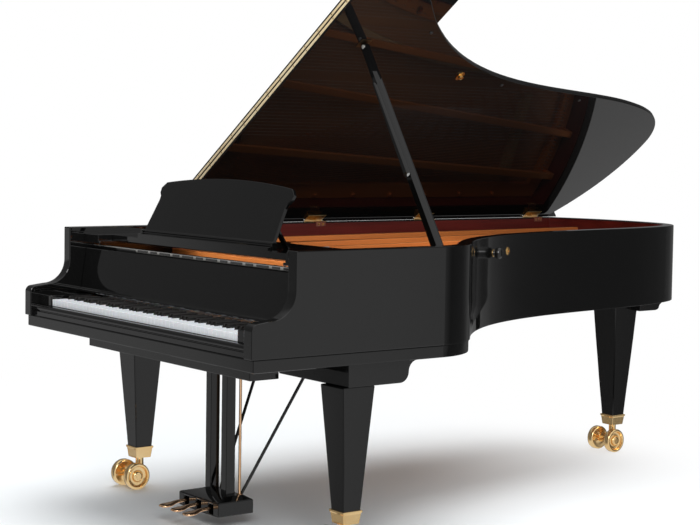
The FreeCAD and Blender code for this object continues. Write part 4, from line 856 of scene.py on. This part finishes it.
dress("lyre_beam", black_lacquer, ease=0.0026)
dress("lyre_posts", black_lacquer, ease=0.0030)
dress("pedal_box", black_lacquer, ease=0.0034)
black_paint = polished_black("black_paint", shade=0.006, rough=0.22, wave=0.15)
dress("lyre_braces", black_paint, ease=0.0006)

BOX_TOP, CAP_RISE = 92.0, 11.0
cap_steps = ((125, 360, 68, BOX_TOP - 0.2), (125, 360, 68, BOX_TOP + 0.6),
             (88, 374, 40, BOX_TOP + CAP_RISE))
cap = [[(side_x * half, middle + side_y * reach, height) for side_x, side_y in CORNERS]
       for half, middle, reach, height in cap_steps]
Form().rings(cap).make("pedal_box_cap", black_lacquer, "case", "black_polish", ease=0.0012,
                       crease=15.0)


# ---- Pedals and rods ---------------------------------------------------------------------------
# The pedals are cast in rose brass, ground to a rounded paddle and buffed; each rocks on a pin in
# the box and pushes a straight brass rod up to the works.

rose_brass = bare_metal("rose_brass", (0.86, 0.56, 0.34), (0.74, 0.44, 0.25), rough=0.13,
                        grain=(90.0, 8.0, 90.0))
PEDAL_LINES = {"left": -78, "middle": 0, "right": 78}
PADDLE_SIDES, PADDLE_FACES, BAR_HALF, ROD_PLACE = 0.7, 0.8, 6.5, 406
# place, half width, height of the middle, half thickness
PEDAL_STATIONS = ((184.3, 8, 59.6, 2.2), (185.8, 13.4, 59.6, 3.4), (189.4, 18, 59.6, 4.6),
                  (195.6, 21.4, 59.8, 5.4), (204, 23, 60.2, 5.8), (214, 22.2, 60.8, 6),
                  (224, 18.8, 62, 6), (233, 14, 63.8, 5.8), (242, 10.2, 65.8, 5.7),
                  (252, 8, 67.6, 5.6), (264, 7, 68.8, 5.4), (280, 6.5, 69.4, 5.4),
                  (300, 6.5, 68, 5.4), (330, 6.5, 63.5, 5.4), (355, 6.5, 61, 5.4))
bar = [(355, 66.4), (355, 55.6), (367, 55.6), (368, 58.6), (376, 58.6), (377, 55.6),
       (417.6, 55.6), (417.6, 66.4), (377, 66.4), (376, 65.6), (368, 65.6), (367, 66.4)]
bush = [(5.6, 103.1), (10, 103.1), (10, 104.2), (8.6, 105.6), (5.6, 106)]


def swelled(share, power):
    """A sine or cosine, drawn out so that the oval it makes is fuller."""
    return math.copysign(abs(share) ** power, share)


for side, line in PEDAL_LINES.items():
    paddle = Form()
    paddle.rings([[(line + half * swelled(math.cos(turn), PADDLE_SIDES), place,
                    height + thick * swelled(math.sin(turn), PADDLE_FACES))
                   for turn in around(24)] for place, half, height, thick in PEDAL_STATIONS])
    paddle.run(bar, line - BAR_HALF, line + BAR_HALF)
    pedal = "pedal_" + side
    paddle.make("cast_pedal_" + side, rose_brass, pedal, "brass", [pedal], crease=40.0)
    dress("pedal_rod_" + side, rose_brass)
    Form().turned(bush, (line, ROD_PLACE, 0), UP, closed=True).make("rod_bush_" + side, rose_brass,
                                                                    "case", "brass")


# ---- Floor, light and camera -------------------------------------------------------------------
# A white floor runs out into a white room, glowing with painted light away from the piano. Soft
# lamps hang overhead, a bright window side lies to the right and the rest is dim, so the flat
# lacquer shows grey cheeks and near-black curves.

FLOOR_RADIUS, FLOOR_STEPS = 9.0, 96
PAINTED_LIGHT_START, PAINTED_LIGHT_END, PAINTED_LIGHT_SHIFT, PAINTED_LIGHT_SQUEEZE = 0.5, 1.9, (0.24, 0.48, 0.0), (0.6, 0.8, 0.0)
WHITE = (1.0, 1.0, 1.0, 1.0)
floor_mesh = bpy.data.meshes.new("floor")
floor_mesh.from_pydata([(FLOOR_RADIUS * math.cos(turn), FLOOR_RADIUS * math.sin(turn), 0.0)
                        for turn in around(FLOOR_STEPS)], [], [range(FLOOR_STEPS)])
floor = bpy.data.objects.new("floor", floor_mesh)
bpy.context.scene.collection.objects.link(floor)
floor.visible_glossy = False
# Painted light: the floor mixes in a white glow that grows over an oval centred a little left of
# and in front of the middle, so only the floor near the case keeps its shadow. The faint blue of
# the matt floor is painted against the warm light that bounces under the case.
material, start, place = new_finish("white_floor")
coat(material, start, Base_Color=(0.85, 0.88, 0.90, 1.0), Roughness=0.7, Specular_IOR_Level=0.1)
squeezed = start.node("Mapping", None, {"Vector": place, "Location": PAINTED_LIGHT_SHIFT,
                                        "Scale": PAINTED_LIGHT_SQUEEZE})
away = start.node("VectorMath", {"operation": "LENGTH"}, {0: squeezed}, out=1)
painted_light_share = start.node("MapRange", {"interpolation_type": "SMOOTHSTEP"},
                  {"Value": away, "From Min": PAINTED_LIGHT_START, "From Max": PAINTED_LIGHT_END})
painted_glow = start.node("Emission", None, {"Color": WHITE, "Strength": 1.0})
tree = material.node_tree
matt = Socket(tree, tree.nodes["Principled BSDF"].outputs[0])
start.feed(tree.nodes["Material Output"].inputs["Surface"],
           start.node("MixShader", None, {0: painted_light_share, 1: matt, 2: painted_glow}))
floor_mesh.materials.append(material)

world = bpy.data.worlds.new("white_room")
bpy.context.scene.world = world
world.use_nodes = True
air = Socket(world.node_tree)
toward = air.node("TexCoord", out="Generated")


def facing(way, low, high):
    """How far a direction lies towards one way, eased from none at low to all at high."""
    share = air.node("VectorMath", {"operation": "DOT_PRODUCT"}, {0: toward, 1: way}, out=1)
    return air.node("MapRange", {"interpolation_type": "SMOOTHSTEP"},
                    {"Value": share, "From Min": low, "From Max": high})


window = facing((0.954, -0.30, 0.0), 0.33, 0.60)
left_wall = facing((-0.92, -0.335, -0.2), 0.955, 0.978)
tail_end = facing((0.45, 0.89, 0.0), 0.72, 0.97)
ceiling = facing((0.0, 0.0, 1.0), 0.5, 0.9)
ground = facing((0.0, 0.0, -1.0), 0.3, 0.6)
room = 0.16 - 0.08 * tail_end + 0.58 * window + 0.28 * left_wall
mirrored = (1 - ground) * room + 0.72 * ground + 0.9 * ceiling
FILL = 0.42
seen = air.node("LightPath", out="Is Camera Ray")
glossy = air.node("LightPath", out="Is Glossy Ray")
backdrop = world.node_tree.nodes["Background"]
air.feed(backdrop.inputs["Color"], WHITE)
air.feed(backdrop.inputs["Strength"], seen + glossy * mirrored + (1 - seen - glossy) * FILL)


def hung(name, light, aim, mirrored_too):
    """Hangs a lamp that shines along an aim; only some show in the lacquer."""
    holder = bpy.data.objects.new(name, light)
    holder.rotation_euler = aim.to_track_quat("-Z", "Y").to_euler()
    holder.visible_glossy = mirrored_too
    bpy.context.scene.collection.objects.link(holder)
    return holder


skylight = bpy.data.lights.new("skylight", "SUN")
skylight.energy, skylight.angle = 2.5, 0.9
hung("skylight", skylight, Vector((0.10, -0.22, -1.0)), False)
# name, spot, target, length, width, power, whether the lacquer mirrors it
LAMPS = (("side_lamp", (3.6, -3.0, 3.0), (0.0, 0.0, 0.8), 2.2, 2.2, 110.0, True),
         ("inside_lamp", (0.05, 0.0, 1.42), (-0.15, 0.0, 0.9), 0.5, 1.5, 5.8, False),
         ("shelf_lamp", (0.05, -0.86, 0.936), (0.05, -0.78, 0.89), 1.15, 0.03, 1.2, False))
for name, spot, target, length, width, power, mirrored_too in LAMPS:
    lamp = bpy.data.lights.new(name, "AREA")
    lamp.shape, lamp.size, lamp.size_y, lamp.energy = "RECTANGLE", length, width, power
    holder = hung(name, lamp, Vector(target) - Vector(spot), mirrored_too)
    holder.location, holder.visible_camera = spot, False

YAW, PITCH, ROLL = 0.9200254, 0.0570961, 0.0154440
EYE = (4.711731, -4.028349, 1.312826)
SENSOR, FOCAL_LENGTH, SHIFT, SIGHT_END = 36.0, 83.58, (-0.00236, -0.0362), 60.0
ahead = Vector((-math.sin(YAW) * math.cos(PITCH), math.cos(YAW) * math.cos(PITCH),
                -math.sin(PITCH)))
level = Vector((math.cos(YAW), math.sin(YAW), 0))
above = level.cross(ahead)
across = math.cos(ROLL) * level + math.sin(ROLL) * above
upward = math.cos(ROLL) * above - math.sin(ROLL) * level
lens = bpy.data.cameras.new("camera")
lens.sensor_fit, lens.sensor_width, lens.lens = "HORIZONTAL", SENSOR, FOCAL_LENGTH
lens.shift_x, lens.shift_y = SHIFT
lens.clip_end = SIGHT_END
camera = bpy.data.objects.new("camera", lens)
turned = Matrix((across, upward, -ahead)).transposed().to_4x4()
camera.matrix_world = Matrix.Translation(EYE) @ turned
bpy.context.scene.collection.objects.link(camera)
bpy.context.scene.camera = camera
bpy.context.scene.view_settings.view_transform = "Standard"
